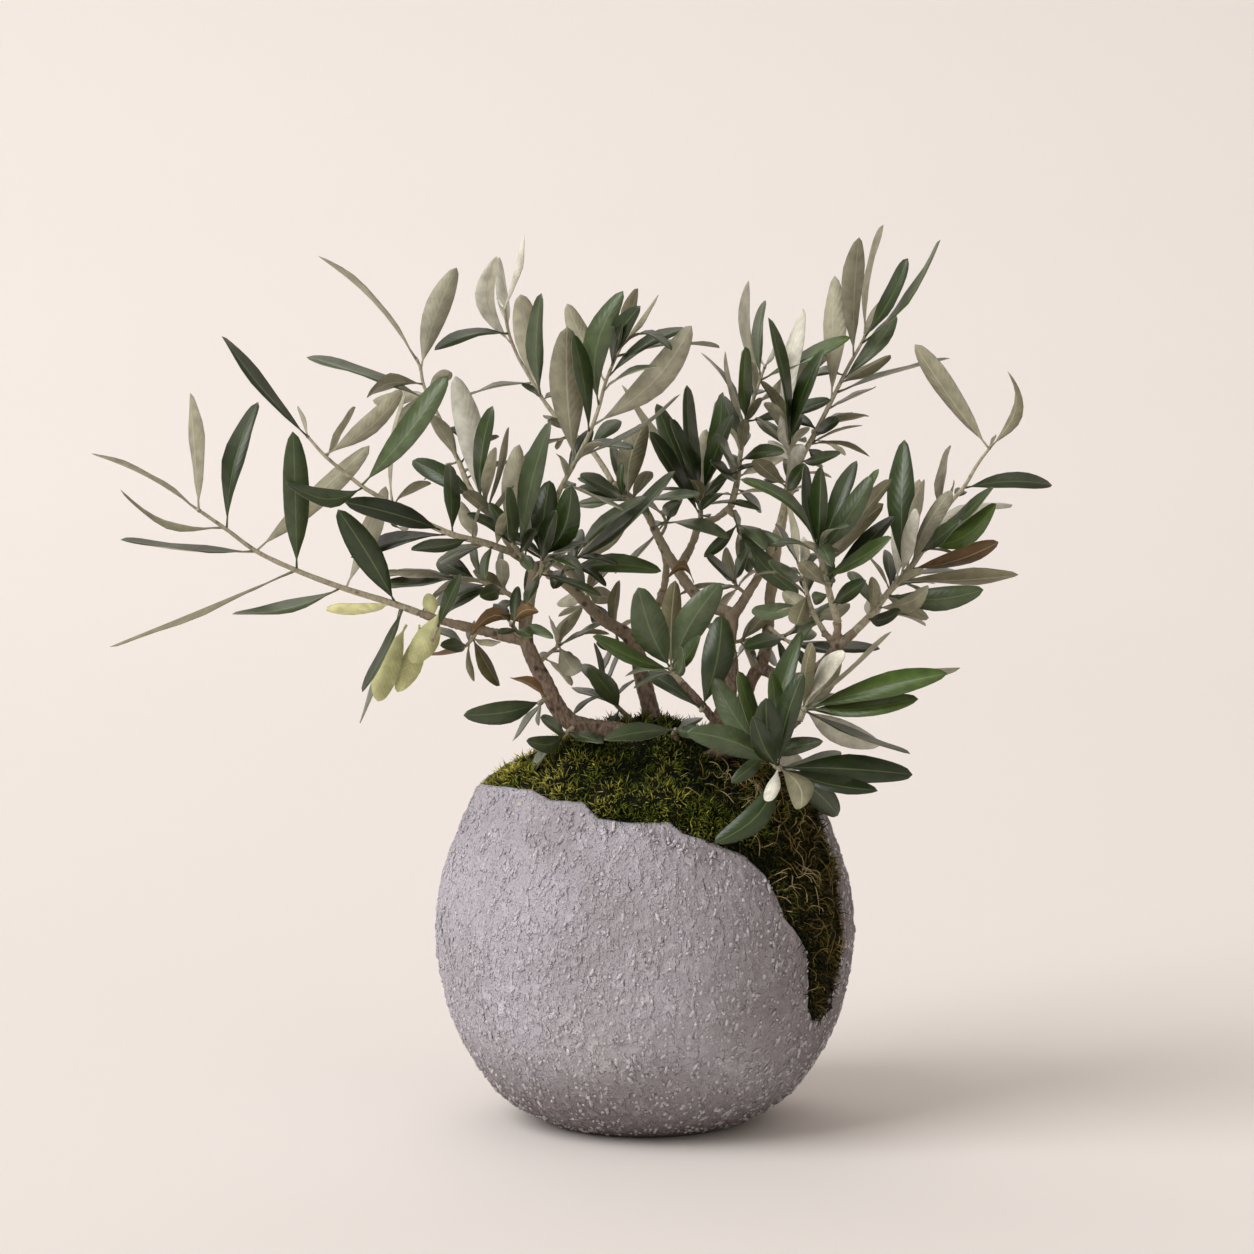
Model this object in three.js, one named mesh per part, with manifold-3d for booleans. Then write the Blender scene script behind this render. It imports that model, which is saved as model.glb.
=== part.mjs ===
// An olive grown as a bonsai: five stems rise from one root in a ball-shaped stoneware pot whose torn
// lip falls into a cleft on the right front, with moss over the soil and out through the cleft.
// Millimetres, +Z up, the front towards -Y, and the origin on the ground at the centre of the pot.
import * as THREE from 'three';
import { mergeVertices } from 'three/addons/utils/BufferGeometryUtils.js';
import Module from 'manifold-3d';

const wasm = await Module();
wasm.setup();

const degrees = THREE.MathUtils.degToRad;

// Clearances between pieces that touch.
const SEAT = 0.35;
const AIR = 1.1;

// Pot: the outer side from foot to brim as radius and height, and its wall.
const POT_SIDE = [
  [42, 0], [62, 11.6], [75.2, 28.8], [84.9, 50], [90, 80], [87.2, 106], [78.5, 130], [66, 157],
];
const POT_WALL = 7;
const POT_FLOOR = 9;
const POT_FACETS = 32;
const DRAIN = { holes: 3, radius: 4, ring: 22 };

// The torn lip: azimuth in degrees from the front towards the right, and height. What it leaves
// away is cut by a fan with a hub on the axis.
const LIP_FAN = { reach: 130, top: 200, hub: 100 };
const LIP = [
  [-140, 147], [-120, 151], [-95, 146], [-78, 148], [-61, 150], [-45, 151], [-34, 147.5],
  [-22, 147.9], [-16, 142], [-6, 140.5], [7.5, 141], [12.5, 135.7], [21.5, 132], [30.5, 126],
  [36.5, 118.6], [39, 110.6], [40.5, 99.6], [44.5, 93], [48.5, 85.6], [50, 72], [51, 60],
  [56.5, 51.2], [60, 55], [63, 62], [66, 80], [67.5, 100], [69, 117], [73, 131], [80, 137],
  [95, 144], [112, 149], [135, 146], [160, 152], [185, 148], [203, 151],
];

// Moss: the mound's top from its crown outwards, how deep it lies, and its tongue in the cleft.
const MOUND = [[0, 174], [14, 172.5], [28, 167], [42, 160], [55, 152.5], [66, 146], [73, 139.5]];
const MOSS_UNDERSIDE = 131;
const MOSS_LUMP = { size: 1.2, around: [5, 3], perHeight: [0.11, -0.17] };
const TONGUE = { from: 24, to: 84, low: 46, thick: 11, inset: 1.2 };
const MOSS_FACETS = 24;

// The front view that the olive is set out in: x and height there are seen from the eye, and every
// point states how far it stands in front of the pot's axis.
const EYE = {
  distance: 1800, elevation: degrees(6), lookX: -7.74, lookZ: 214, sightX: -7.74, sightZ: 212,
};

// Leaf: stations along the blade with the share of its width there, and its proportions.
const BLADE = [[0, 0], [0.13, 0.28], [0.5, 1], [0.83, 0.74], [1, 0]];
const SMALL_BLADE = [[0, 0], [0.16, 0.26], [0.6, 1], [1, 0]];
const SMALL_LEAF = 52;
const LEAF_THICKNESS = 0.8;
const LEAF_FOLD = 0.2;
const LEAF_ARCH = 0.06;
const LEAF_LONGEST = 68;

// How a leaf grows: its length from the length that shows, its width from its length, and the least
// depth from its root to its tip.
const GROWN_LENGTH = { share: 1.03, extra: 11, usual: 40 };
const GROWN_WIDTH = { least: 2.2, share: 0.19, most: 12.5 };
const LEAF_DEPTH = 8;
// A leaf's root stands this far from its stem's foot at least, and this far below the stem's end.
const LEAF_FREE = 5.5;
const LEAF_SUNK = 1.6;
// A leafy stem's steps for each of its points.
const SPRAY_STEPS = 0.8;
// Up to this share of its length a leaf may touch its own stem and its other leaves, and up to the
// second share any bark.
const SHARED_ROOT = 0.38;
const BARK_ROOT = 0.2;
// Where a leaf is tried for room: so many places along it from this share on, at these across it.
const TRIED = { first: 0.12, places: 15, across: [-1, -0.5, 0, 0.5, 1] };
const BLADE_ENDS = { from: 0.08, to: 1.03 };

// The face of a leaf that the front view shows: green, light green, silver, pale or yellowed.
const [G, L, S, P, Y] = ['green', 'light', 'silver', 'pale', 'yellow'];
const UPPER_FACES = new Set([G, L]);

const COLOURS = { pot: 0x9a9295, soil: 0x2b211b, moss: 0x4f5a1e, bark: 0x7d6a5e, leaf: 0x3f5a3a };

// The woody stems, root first: x, height and front of each point, and the radius from root to end.
const ROOT = [12, 150, 8];
const LIMBS = {
  stump: { girth: [9, 6], stem: [[13, 118, 4], [12, 136, 7], ROOT] },
  bough: {
    girth: [5.4, 1.9],
    stem: [
      ROOT, [8, 158, 14], [-6, 165, 18], [-20, 168, 22], [-31, 170.5, 26], [-38, 178, 26], [-43, 188, 25],
      [-48, 198, 23], [-51, 206, 21.5], [-51.5, 214, 20], [-49.5, 225, 17], [-48.5, 238, 15], [-57, 244, 17],
    ],
  },
  far_bough: {
    girth: [2.6, 1.5],
    stem: [[-51, 206, 21.5], [-60, 208, 23.5], [-72, 211, 25.5], [-85, 214, 27], [-97, 218, 29]],
  },
  centre: {
    girth: [4.4, 1.9],
    stem: [
      ROOT, [6, 160, 2], [4, 170, 0], [1, 182, -3], [-2, 193, -6], [-4, 203, -9], [-8, 209, -11],
      [-18, 215, -14], [-25, 222, -16], [-32, 229, -17], [-38, 233, -18], [-42, 235, -17],
    ],
  },
  centre_fork: {
    girth: [2.2, 1.3],
    stem: [[-3, 199, -8], [2, 214, -20], [8, 228, -38], [9, 240, -45], [6, 250, -44]],
  },
  slip: { girth: [2.4, 1.5], stem: [ROOT, [0, 160, 4], [-8, 174, 0]] },
  middle: {
    girth: [4.2, 1.4],
    stem: [
      ROOT, [24, 160, 0], [30, 168, -6], [35, 180, -10], [37, 192, -14], [36, 205, -17], [37, 217, -20],
      [28, 221, -24], [20, 228, -28], [13, 238, -33], [6, 250, -36], [0, 262, -38], [-14, 274, -36],
    ],
  },
  middle_fork: {
    girth: [2.3, 1.5],
    stem: [[37, 215, -19.5], [44, 226, -22], [50, 236, -24], [57, 254, -22]],
  },
  crown_twig: {
    girth: [1.9, 1.4],
    stem: [[14, 236, -32], [20, 247, -41], [24, 256, -46], [31, 259, -40], [37, 264, -34]],
  },
  back: {
    girth: [4, 1.7],
    stem: [
      ROOT, [30, 160, -8], [40, 174, -20], [45, 188, -24], [51, 199, -27], [53, 212, -27], [54, 226, -29],
      [56, 240, -31], [60, 262, -30],
    ],
  },
  side: {
    girth: [2.7, 2],
    stem: [[49, 195, -26], [57, 191, -14], [66, 190, 4], [74, 194, 24], [80, 200, 36], [84, 205, 44]],
  },
  side_twig: { girth: [1.9, 1.6], stem: [[82, 202, 40], [83, 214, 44]] },
  side_fork: { girth: [1.9, 1.3], stem: [[82.5, 203, 41], [77, 210, 41]] },
  side_reach: { girth: [2, 1.8], stem: [[83, 203.5, 42], [90, 210, 42]] },
  front: { girth: [4, 2], stem: [ROOT, [28, 156, 24], [40, 160, 34], [46, 161, 38]] },
  front_reach: { girth: [2.6, 1.9], stem: [[40, 160, 34], [52, 164, 45], [60, 168, 50], [66, 172, 54]] },
  shoot: {
    girth: [2.2, 1.5],
    stem: [[42, 160.5, 35.5], [38, 165, 29], [32, 169.5, 30], [25, 178, 34], [16, 188, 40]],
  },
  left_peg: { girth: [1.8, 1.6], stem: [[-54, 242, 16], [-60, 250, 14.5]] },
  crown_peg: { girth: [1.5, 1.3], stem: [[35.5, 262.5, -35], [38.5, 260, -30]] },
  stub: { girth: [2, 1.3], stem: [[10, 156, 12], [14, 161, 20], [12, 166, 24]] },
};

// The leafy stems. In each row of leaves: the place along the stem from 0 to 1, the tip's x and
// height, the width that shows, the face that shows, and how far the blade bows to its left.
const SPRAYS = {
  far_left: {
    girth: [1.5, 0.7],
    stem: [
      [-97, 218, 29], [-108, 222, 32], [-129, 228.5, 38], [-149, 236, 44],
      [-167, 244.5, 50], [-180, 254, 56], [-193, 263, 62],
    ],
    leaves: [
      [1, -238, 286.5, 1.8, S, -2.5], [0.99, -195.5, 312.5, 7.1, S, 0],
      [0.86, -225.5, 271, 2.2, S, 6], [0.85, -166.4, 308.7, 9.4, G, 3],
      [0.7, -225.5, 249.5, 3.2, G, 2], [0.7, -118.5, 290, 10.3, S, 0],
      [0.52, -151.5, 296, 10.9, G, -0.5], [0.52, -230, 203.5, 1.8, S, 0],
      [0.33, -177.5, 217.5, 5.1, G, 3.5], [0.31, -111.5, 272.5, 8.6, S, 0],
      [0.1, -132, 262.5, 12.1, G, -1], [0.12, -137, 219, 5.2, Y, 1.5],
      [0.05, -115.5, 181, 12.1, Y, -2], [0.04, -106.5, 185, 10.3, Y, -3], [0.04, -94, 226, 6.9, Y, 0],
      [0.07, -121.5, 184, 4.8, G, 1.5], [0.08, -122.5, 170.5, 2, G, 1.5],
    ],
  },
  left_drape: {
    girth: [1, 0.7],
    stem: [
      [-88, 216, 28], [-90, 210, 33], [-92, 205, 37],
    ],
    leaves: [
      [0.38, -88.5, 222, 6.9, Y, 0], [0.66, -101, 198.5, 10.3, Y, -1], [0.16, -79, 235, 5.8, G, 0],
      [0.92, -95, 201, 3, Y, 0],
    ],
  },
  left_high: {
    girth: [1.6, 0.6],
    stem: [
      [-57, 244, 17], [-70, 248.5, 24], [-82, 251.5, 31], [-100, 259.5, 34],
      [-109, 265, 38], [-121, 272, 42], [-128, 277.5, 42], [-138, 286, 45],
      [-146, 295, 45],
    ],
    leaves: [
      [0.99, -182, 337, 5.3, G, 1.5], [1, -149.5, 306.5, 1.8, S, 0], [0.89, -104.5, 314, 8, S, -3],
      [0.88, -124.5, 306.5, 2.6, S, 0], [0.7, -84.5, 320, 11.5, G, -2], [0.69, -154.5, 274, 8, G, 6],
      [0.55, -103.5, 313, 1.8, S, 4], [0.55, -92, 273.5, 2.6, S, 2],
      [0.32, -129, 265.5, 9.8, G, -1], [0.29, -126.5, 242, 6.4, G, -2],
      [0.45, -109.5, 258, 2, P, 4], [0.28, -84, 282, 6.9, G, 0], [0.21, -100.5, 245, 6.3, G, 1],
      [0.17, -79, 266, 5.8, S, 0], [0.12, -88, 240, 5.8, G, 0], [0.08, -58.5, 262, 5.8, S, 0],
    ],
  },
  left_under: {
    girth: [1.3, 0.6],
    stem: [
      [-50, 220, 18], [-60, 227, 14], [-72, 232, 10], [-84, 234, 6],
    ],
    leaves: [
      [1, -112, 236, 3, S, 1], [0.97, -112, 234, 3.2, G, -1], [0.89, -112.5, 230.5, 5.1, G, 1],
      [0.67, -89, 241, 9.8, G, 0], [0.55, -90, 222, 5.8, G, -1], [0.45, -86, 218.5, 6.9, G, -2],
      [0.39, -71, 225, 7.5, G, 0], [0.25, -74, 236, 6.9, S, 0], [0.33, -61, 241, 6.3, S, 1],
      [0.16, -66, 218, 4.6, G, 0],
    ],
  },
  left_crown: {
    girth: [1.5, 0.6],
    stem: [
      [-60, 250, 14], [-63, 255, 12], [-70, 264, 6], [-76, 273, 0], [-80, 283, -8],
      [-84, 291, -14], [-88, 301, -20], [-93, 311, -26], [-95.5, 317, -30],
      [-96.5, 323, -32], [-98.5, 328, -34],
    ],
    leaves: [
      [1, -140.5, 371.5, 2, S, -4], [0.94, -81, 366.5, 10.7, S, 2], [0.87, -119.5, 311, 5.8, S, -4],
      [0.82, -117, 309.5, 6.9, S, 0], [0.83, -84, 322, 5.8, S, 0], [0.83, -107, 296.5, 8, S, 0],
      [0.78, -145.5, 328, 5.1, G, -1], [0.63, -78, 291, 3.4, G, 2],
      [0.45, -94.5, 275.5, 1.8, G, 0], [0.21, -81.5, 320, 12, P, -2], [0.2, -65.5, 307, 7.1, G, 2],
      [0.16, -58.5, 298, 2.6, S, -2], [0.17, -65, 289, 4.8, S, 0], [0.21, -100, 283.5, 9.2, G, -1],
      [0.12, -57, 272.5, 2.2, S, 0],
    ],
  },
  left_heart: {
    girth: [1.5, 1],
    stem: [
      [-49, 239, 15], [-53, 243, 20], [-57, 248, 25],
    ],
    leaves: [
      [1, -54, 290.5, 10.4, S, 1], [0.89, -59.5, 272, 5.8, G, 0], [0.54, -40.5, 300.5, 9.3, G, 2],
      [0.3, -46, 262, 5.8, G, 0], [0.6, -47, 254, 4.6, G, 0],
    ],
  },
  top_left: {
    girth: [1.3, 0.6],
    stem: [
      [-14, 274, -36], [-18, 281, -39], [-26, 291.5, -44], [-33, 296, -47],
      [-38, 302, -50], [-44, 310, -54], [-51, 322, -58], [-55, 329, -62],
      [-59, 340, -65], [-60.5, 350, -68],
    ],
    leaves: [
      [0.81, -64, 371.5, 8.5, P, 8], [0.88, -62.5, 371, 5.2, P, 0], [0.98, -52, 380.5, 3.6, P, 0],
      [0.56, -53.5, 355, 12.5, S, 0], [0.54, -44.5, 355.5, 8, G, 2], [0.61, -77, 311, 2, G, -1.5],
      [0.54, -53, 316, 3.4, G, 0], [0.52, -36.5, 313, 3.4, G, 0], [0.87, -90.5, 331, 5.8, G, -3],
      [0.33, -43, 303, 3, G, 0], [0.24, -5, 288.5, 4.6, G, 0], [0.2, -11, 301, 6.9, G, 0],
      [1, -63, 354, 1.6, P, 0],
    ],
  },
  top_mid: {
    girth: [1.5, 0.6],
    stem: [
      [-42, 235, -17], [-43, 245, -5], [-41, 256, 5], [-37, 270, 13], [-30, 283, 16],
      [-24, 295, 17], [-20, 306, 16], [-17, 317, 14], [-13, 327, 13], [-9, 335, 12],
    ],
    leaves: [
      [0.53, -33.5, 341, 15, S, 1.5], [0.84, -33.5, 351, 9.5, S, 1], [0.75, -9.5, 356.5, 11, G, 6],
      [0.65, -31, 338, 6.9, G, -1], [0.94, -3, 357.5, 5.8, S, 0], [0.98, 5.5, 354.5, 2, S, 0],
      [0.68, 20, 341.5, 12.5, S, -5], [0.86, 18, 340.5, 5.8, G, 3], [0.9, -2, 350, 8, G, 3],
      [0.98, 11.5, 331, 2.2, G, 6], [0.81, 5, 324, 2.2, G, 2], [0.91, -9.5, 342, 3, G, 0],
      [0.94, 32, 332, 2, G, 3], [0.42, -31, 274, 4.6, G, 0], [0.45, -9, 262, 1, G, 0],
      [0.56, 15, 312, 2, G, -4],
    ],
  },
  dark_pair: {
    girth: [1.3, 0.8],
    stem: [
      [-48.5, 230, 16], [-45, 236, 22], [-44, 243, 27],
    ],
    leaves: [
      [0.93, -31.5, 273, 12, G, -4], [0.72, -41, 275, 11, G, 1], [0.35, -29, 250.5, 1.8, G, -1],
      [0.79, -38, 262, 6.9, G, 1], [0.41, -51, 222, 4.6, G, 0],
    ],
  },
  mid_fan: {
    girth: [1.1, 0.7],
    stem: [
      [-38, 233, -18], [-34, 238, -10], [-30, 242, -2],
    ],
    leaves: [
      [0.29, 7, 236, 8, L, 3], [1, -6.5, 262, 9.9, S, -2], [0.88, -28.5, 246, 2.4, G, 0],
      [0.51, -28, 254, 5.8, G, -1], [0.63, 13, 279, 6.9, G, -3], [0.88, 1, 268, 5.3, G, 3],
    ],
  },
  hub_left: {
    girth: [1.1, 0.7],
    stem: [
      [0, 262, -38], [-5, 266, -34], [-10, 268, -28],
    ],
    leaves: [
      [0.79, -29, 271, 5.8, G, -1], [0.91, -29, 265, 5.1, G, 1], [0.57, 2, 279, 5.8, S, 0],
      [0.85, -14, 290, 5.8, G, 0], [0.21, 24, 268.5, 3.4, G, 1], [0.7, 0, 300, 12, S, 3],
      [1, -28, 277, 6.9, G, 0],
    ],
  },
  hub_twig: {
    girth: [0.9, 0.6],
    stem: [
      [6, 250, -44], [9, 256, -42], [7, 262, -40],
    ],
    leaves: [
      [0.83, 15, 266, 6.9, G, 0], [0.59, 36, 250, 5.3, G, 2], [1, -4, 268, 3, G, 0],
      [0.66, -13, 235, 1.6, G, 2],
    ],
  },
  centre: {
    girth: [1.3, 0.8],
    stem: [
      [24, 255, -46], [24, 263, -42], [25, 271, -38],
    ],
    leaves: [
      [1, 11, 301.5, 6, G, 0], [1, 26.5, 297, 7.6, S, 0], [1, 38, 303.5, 7.4, G, 1],
      [0.62, 18, 316, 7.6, G, 2], [0.75, 31, 309.5, 5.8, S, -3], [0.88, 33.5, 313, 6.9, G, -2],
      [0.44, 8, 291, 9.2, G, -1], [0.56, 5, 308, 9.2, G, 1], [0.31, 2, 296, 6.9, G, 0],
      [0.69, -10, 316, 4.6, S, 2],
    ],
  },
  top_centre: {
    girth: [1.6, 0.6],
    stem: [
      [37, 264, -34], [39.5, 274, -40], [41, 286, -46], [43, 298, -51], [46, 308, -55],
      [49, 317, -58], [52, 325, -60],
    ],
    leaves: [
      [0.89, 44.5, 361, 5.8, P, 3], [0.9, 51.5, 352.5, 5.5, G, 2], [0.59, 43, 332.5, 6.9, L, 1],
      [0.76, 43, 331, 5.8, G, 0], [0.56, 34.5, 330.5, 3.2, P, 1], [0.51, 24, 330, 2.2, G, -4],
      [0.4, 33, 312, 6.9, G, 0], [0.21, 69, 289.5, 6.9, S, 1], [0.89, 88.5, 336.5, 5.8, L, 0],
      [0.71, 81.5, 331, 6.9, S, -1], [0.6, 80, 309.5, 6.4, G, -1], [1, 47, 334, 1.8, P, 0],
      [1, 56, 333, 1.8, P, 0], [0.24, 30, 294, 4.6, G, 0], [0.18, 28, 283, 4.6, G, 0],
      [0.14, 50, 262, 4.6, G, 0], [0.07, 24, 262, 3, G, -3], [0.32, 60, 287, 5.8, G, 2],
    ],
  },
  centre_low: {
    girth: [1, 0.7],
    stem: [
      [38.5, 260, -30], [40, 256, -26], [41, 250, -19],
    ],
    leaves: [
      [0.49, 66, 226, 9.2, G, -3], [0.19, 41, 240, 5.8, S, 2], [0.39, 52, 245, 5.8, G, 2],
      [0.8, 38, 262, 3, G, 0],
    ],
  },
  right_inner: {
    girth: [1.4, 0.7],
    stem: [
      [57, 254, -22], [60, 266, -27], [62, 282, -34], [62, 293, -40],
    ],
    leaves: [
      [0.97, 53, 345, 5.8, G, -2], [0.9, 68, 349, 7.4, P, 4], [0.92, 77, 331.5, 6.4, G, 2],
      [0.76, 53, 292, 5.8, P, 0], [0.82, 58, 302, 4.6, P, 0], [0.92, 66, 304, 5.8, G, 0],
      [0.56, 69, 289, 5.8, P, 2], [0.51, 52, 276, 4.6, G, 0], [0.41, 69, 282, 5.8, G, 0],
      [0.87, 48, 302, 5.8, G, 0], [0.46, 47, 284, 6.9, S, 0],
    ],
  },
  top_right: {
    girth: [1.6, 0.6],
    stem: [
      [60, 262, -30], [64, 274, -35], [68, 286, -42], [73, 295, -47], [78, 305, -52],
      [83, 315, -56], [88, 325, -60], [92, 332, -62], [95, 338, -62],
    ],
    leaves: [
      [0.87, 92, 379.5, 9.8, S, 1], [0.63, 81.5, 363, 9.2, S, 0], [1, 102.5, 385, 3.4, S, 2],
      [0.99, 103, 353.5, 6.2, S, 0], [0.98, 113, 370.5, 6.9, G, -2], [0.74, 108, 346, 7.6, G, -2],
      [0.95, 127, 378.5, 3, L, -5], [0.72, 105.5, 329, 5.3, S, 0], [0.67, 131, 327.5, 1.9, G, 1],
      [0.58, 99, 315, 1.8, G, 0], [0.44, 84, 301.5, 5.8, G, 0], [0.4, 75, 297, 4.6, G, 0],
      [0.51, 88.5, 304, 1.5, G, 0], [0.35, 76, 283, 6.9, G, 0], [0.27, 84, 286.5, 5.3, G, -1],
      [0.77, 70, 319, 4.6, G, -2], [0.46, 62, 303, 5.8, G, 0],
    ],
  },
  right_bunch: {
    girth: [1.7, 0.9],
    stem: [
      [83, 214, 44], [80, 224, 47], [77, 236, 53], [74, 247, 59],
    ],
    leaves: [
      [1, 41, 275.5, 5.3, L, -6], [1, 69.5, 276.5, 3.6, L, 0], [1, 76, 281, 6.9, G, 0],
      [0.96, 100.5, 280, 3, L, -2], [0.87, 98, 277, 9.2, G, -1], [0.71, 106, 275.5, 8, S, 1],
      [0.69, 102.5, 265, 9.2, S, 2], [1, 69, 282, 5.8, G, 2], [0.81, 81, 268.5, 4.6, S, 0],
      [0.84, 91, 283.5, 6.9, G, 1], [0.59, 106, 250.5, 6.4, L, -1], [0.5, 107.5, 260, 6.2, G, 0],
      [0.44, 67, 240, 6.9, S, 0], [0.35, 72, 224, 5.8, G, 0], [0.23, 95, 232, 6.9, G, 0],
    ],
  },
  right_stem: {
    girth: [1.3, 0.7],
    stem: [
      [77, 210, 41], [72, 219, 38], [69, 229, 36], [66, 240, 34],
    ],
    leaves: [
      [1, 56, 256, 3, G, 0], [1, 61, 265, 3, S, 0], [0.75, 53, 240, 5.8, G, 1],
      [0.55, 65, 213, 9.2, S, 0], [0.39, 46, 219.5, 6.9, G, 2], [0.25, 59, 227, 8, S, 0],
      [0.9, 69, 250, 4.6, P, 0], [0.09, 65, 206, 4.6, G, 0], [0.13, 88, 222, 5.8, S, 0],
    ],
  },
  right_low: {
    girth: [1.8, 0.6],
    stem: [
      [90, 210, 42], [97, 217, 40], [104, 226, 37], [111, 234, 34], [116, 240, 32],
      [124, 253, 29], [131, 265, 26], [137, 272, 24], [143, 282, 22], [149, 290, 20],
    ],
    leaves: [
      [0.32, 111.5, 292.5, 11, G, 1], [0.28, 118, 275.5, 10.3, P, 2], [0.31, 117, 262.5, 5.8, P, 1],
      [0.34, 120, 275.5, 4.8, S, 0], [0.37, 132, 270.5, 6.9, S, 2], [0.33, 135, 236, 2.4, G, 0],
      [0.3, 160.5, 234.5, 6.4, S, -1], [0.21, 145.5, 228, 10.3, G, -3], [0.14, 122, 229, 7.5, S, -3],
      [0.08, 101.5, 227, 7.5, P, 0], [0.36, 152, 248.5, 7.6, Y, -2], [0.24, 104, 245, 5.8, G, 0],
      [0.13, 88, 236, 5.8, G, 0], [0.08, 110, 219, 5.8, G, -2], [0.2, 122, 216, 6.9, S, 1],
      [0.99, 116, 333.5, 8.3, S, 0.5], [1, 156, 322, 4.6, S, -7.5], [0.78, 175, 273, 7.6, G, 2],
      [0.61, 131, 290, 4.6, S, 1], [0.52, 158, 264.5, 5.8, P, 6], [0.48, 151, 265, 9.2, L, -5],
      [0.44, 141, 260, 8, G, -1], [0.45, 136, 258, 5.8, G, 0], [0.72, 136.5, 271, 4.6, G, 0],
      [0.55, 150, 272, 4.6, G, -2], [1, 151, 294, 1.4, S, 0], [0.69, 133, 274, 1.6, S, 0],
    ],
  },
  right_spread: {
    girth: [1.9, 1.4],
    stem: [
      [66, 172, 54], [69, 178, 55],
    ],
    leaves: [
      [0.87, 130, 192, 9.7, L, 1], [1, 135.5, 194.5, 5.1, S, 3], [0.73, 117.5, 181, 8.5, L, -2],
      [0.4, 101, 161, 10.8, P, -2], [0.33, 114, 157.5, 2.8, G, -2], [1, 86, 201, 5.8, P, 3],
      [1, 84, 199, 8.5, S, -1], [1, 106, 210, 1.8, S, -1], [0.67, 72, 205, 5.8, S, 1],
    ],
  },
  right_skirt: {
    girth: [1.7, 1.3],
    stem: [
      [46, 161, 38], [51, 158, 48], [55, 154, 56], [58, 151, 63],
    ],
    leaves: [
      [0.86, 18, 167, 12, G, -3], [0.91, 46.5, 173.5, 9.2, G, 1.5], [0.98, 52, 181.5, 12.6, G, 2],
      [0.95, 68, 192.5, 9.7, G, 2], [0.72, 67.5, 210, 8, G, 3], [0.64, 29.5, 190, 11, G, 2],
      [0.56, 40, 193, 6.9, L, 1], [0.64, 54, 192.5, 6.9, L, -2], [1, 67, 134, 11, S, 4],
      [1, 67.5, 155.5, 9.2, P, 0], [0.98, 30, 119, 10.8, G, 6], [1, 115, 148.5, 11.7, G, 1],
      [1, 100, 141.5, 6.9, G, -2], [1, 84, 158.5, 4.8, G, -2], [1, 83, 131, 10.8, G, 2],
      [0.95, 53, 137, 5.8, P, 0],
    ],
  },
  front_shoot: {
    girth: [1.5, 1.1],
    stem: [
      [16, 188, 40], [13, 191.5, 41.5], [10.5, 195, 43],
    ],
    leaves: [
      [1, -3, 229, 15, G, 2], [1, 13, 232, 9.2, S, 1], [0.92, 32.5, 231, 13.5, G, 2.5],
      [0.72, 21.5, 210.5, 6.2, S, 1], [0.88, -22.5, 208, 6.9, L, 2], [0.72, 24, 208, 5.8, G, -1],
      [0.32, 16, 203, 4.6, G, -2],
    ],
  },
  front_lower: {
    girth: [1.3, 0.9],
    stem: [
      [25, 178, 34], [24, 176, 40],
    ],
    leaves: [
      [1, 33, 217, 13.5, G, -2], [1, 0.5, 192.5, 7.6, G, -1], [0.5, 40, 201, 2, S, 2],
    ],
  },
  base_left: {
    girth: [1.1, 0.8],
    stem: [
      [-39, 182, 25], [-43, 181, 31], [-46, 179, 35],
    ],
    leaves: [
      [0.71, -78, 174, 9.9, G, 2], [0.57, -56.5, 163.5, 2.4, G, 0], [0.44, -57.5, 190, 4.6, Y, -2],
      [0.87, -45.5, 170, 2, G, 0],
    ],
  },
  base_fork: {
    girth: [1.2, 0.9],
    stem: [
      [-30, 170, 27], [-33, 167, 32], [-36, 165, 36],
    ],
    leaves: [
      [0.83, -51, 163, 7.6, G, 3], [0.86, -50.5, 146.5, 3.4, G, -1], [0.72, -45, 173, 5.1, G, 0],
      [0.55, -18, 162, 4.6, G, 0],
    ],
  },
  base_mid: {
    girth: [1.2, 0.7],
    stem: [
      [-8, 174, 0], [-12, 178, 6], [-17, 183, 10],
    ],
    leaves: [
      [0.38, -24.5, 195, 9.2, G, -1], [0.9, -27.5, 196, 6.4, G, -1], [1, -22, 205, 2, G, 0],
      [0.6, -31, 186, 3, G, 0],
    ],
  },
  base_front: {
    girth: [1, 0.8],
    stem: [
      [12, 166, 24], [13, 167.5, 28], [13, 168, 32],
    ],
    leaves: [
      [1, -17.5, 163.5, 7.4, G, -1], [1, 26, 166, 5.8, G, 0], [0.36, 24, 173, 3, G, 0],
    ],
  },
  mid_left: {
    girth: [1.1, 0.6],
    stem: [
      [-46, 196, 23], [-42, 200, 18], [-36, 205, 13],
    ],
    leaves: [
      [1, -29, 192, 9.7, S, -1], [0.8, -27.5, 220.5, 5.8, S, 2], [1, -19, 213, 2, G, 0],
      [1, -41, 216, 2.4, S, 0], [0.62, -49, 196, 3, G, 0], [0.9, -33, 215, 2.4, S, 0],
    ],
  },
  fork_leaves: {
    girth: [1.2, 0.8],
    stem: [
      [-53, 207, 22], [-56, 211, 27], [-58, 214, 31],
    ],
    leaves: [
      [0.83, -73.5, 211, 7.6, Y, -4], [1, -64, 222, 4.6, G, 0], [0.57, -63, 209, 3.4, G, 0],
      [0.83, -46, 219, 5.8, Y, 3],
    ],
  },
  under_bough: {
    girth: [1, 0.6],
    stem: [
      [-72, 210.5, 25.5], [-75, 206, 22], [-78, 203, 20],
    ],
    leaves: [
      [0.72, -94.5, 200, 2.6, Y, 2], [0.86, -88, 204, 5.8, G, 0], [0.39, -63, 205, 3, S, 0],
      [0.72, -74, 214, 3, G, 0], [1, -90, 212, 3.4, G, 0],
    ],
  },
  trunk_left: {
    girth: [1.1, 0.7],
    stem: [
      [-22, 219, -15], [-24, 223, -22], [-25, 228, -28],
    ],
    leaves: [
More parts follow.
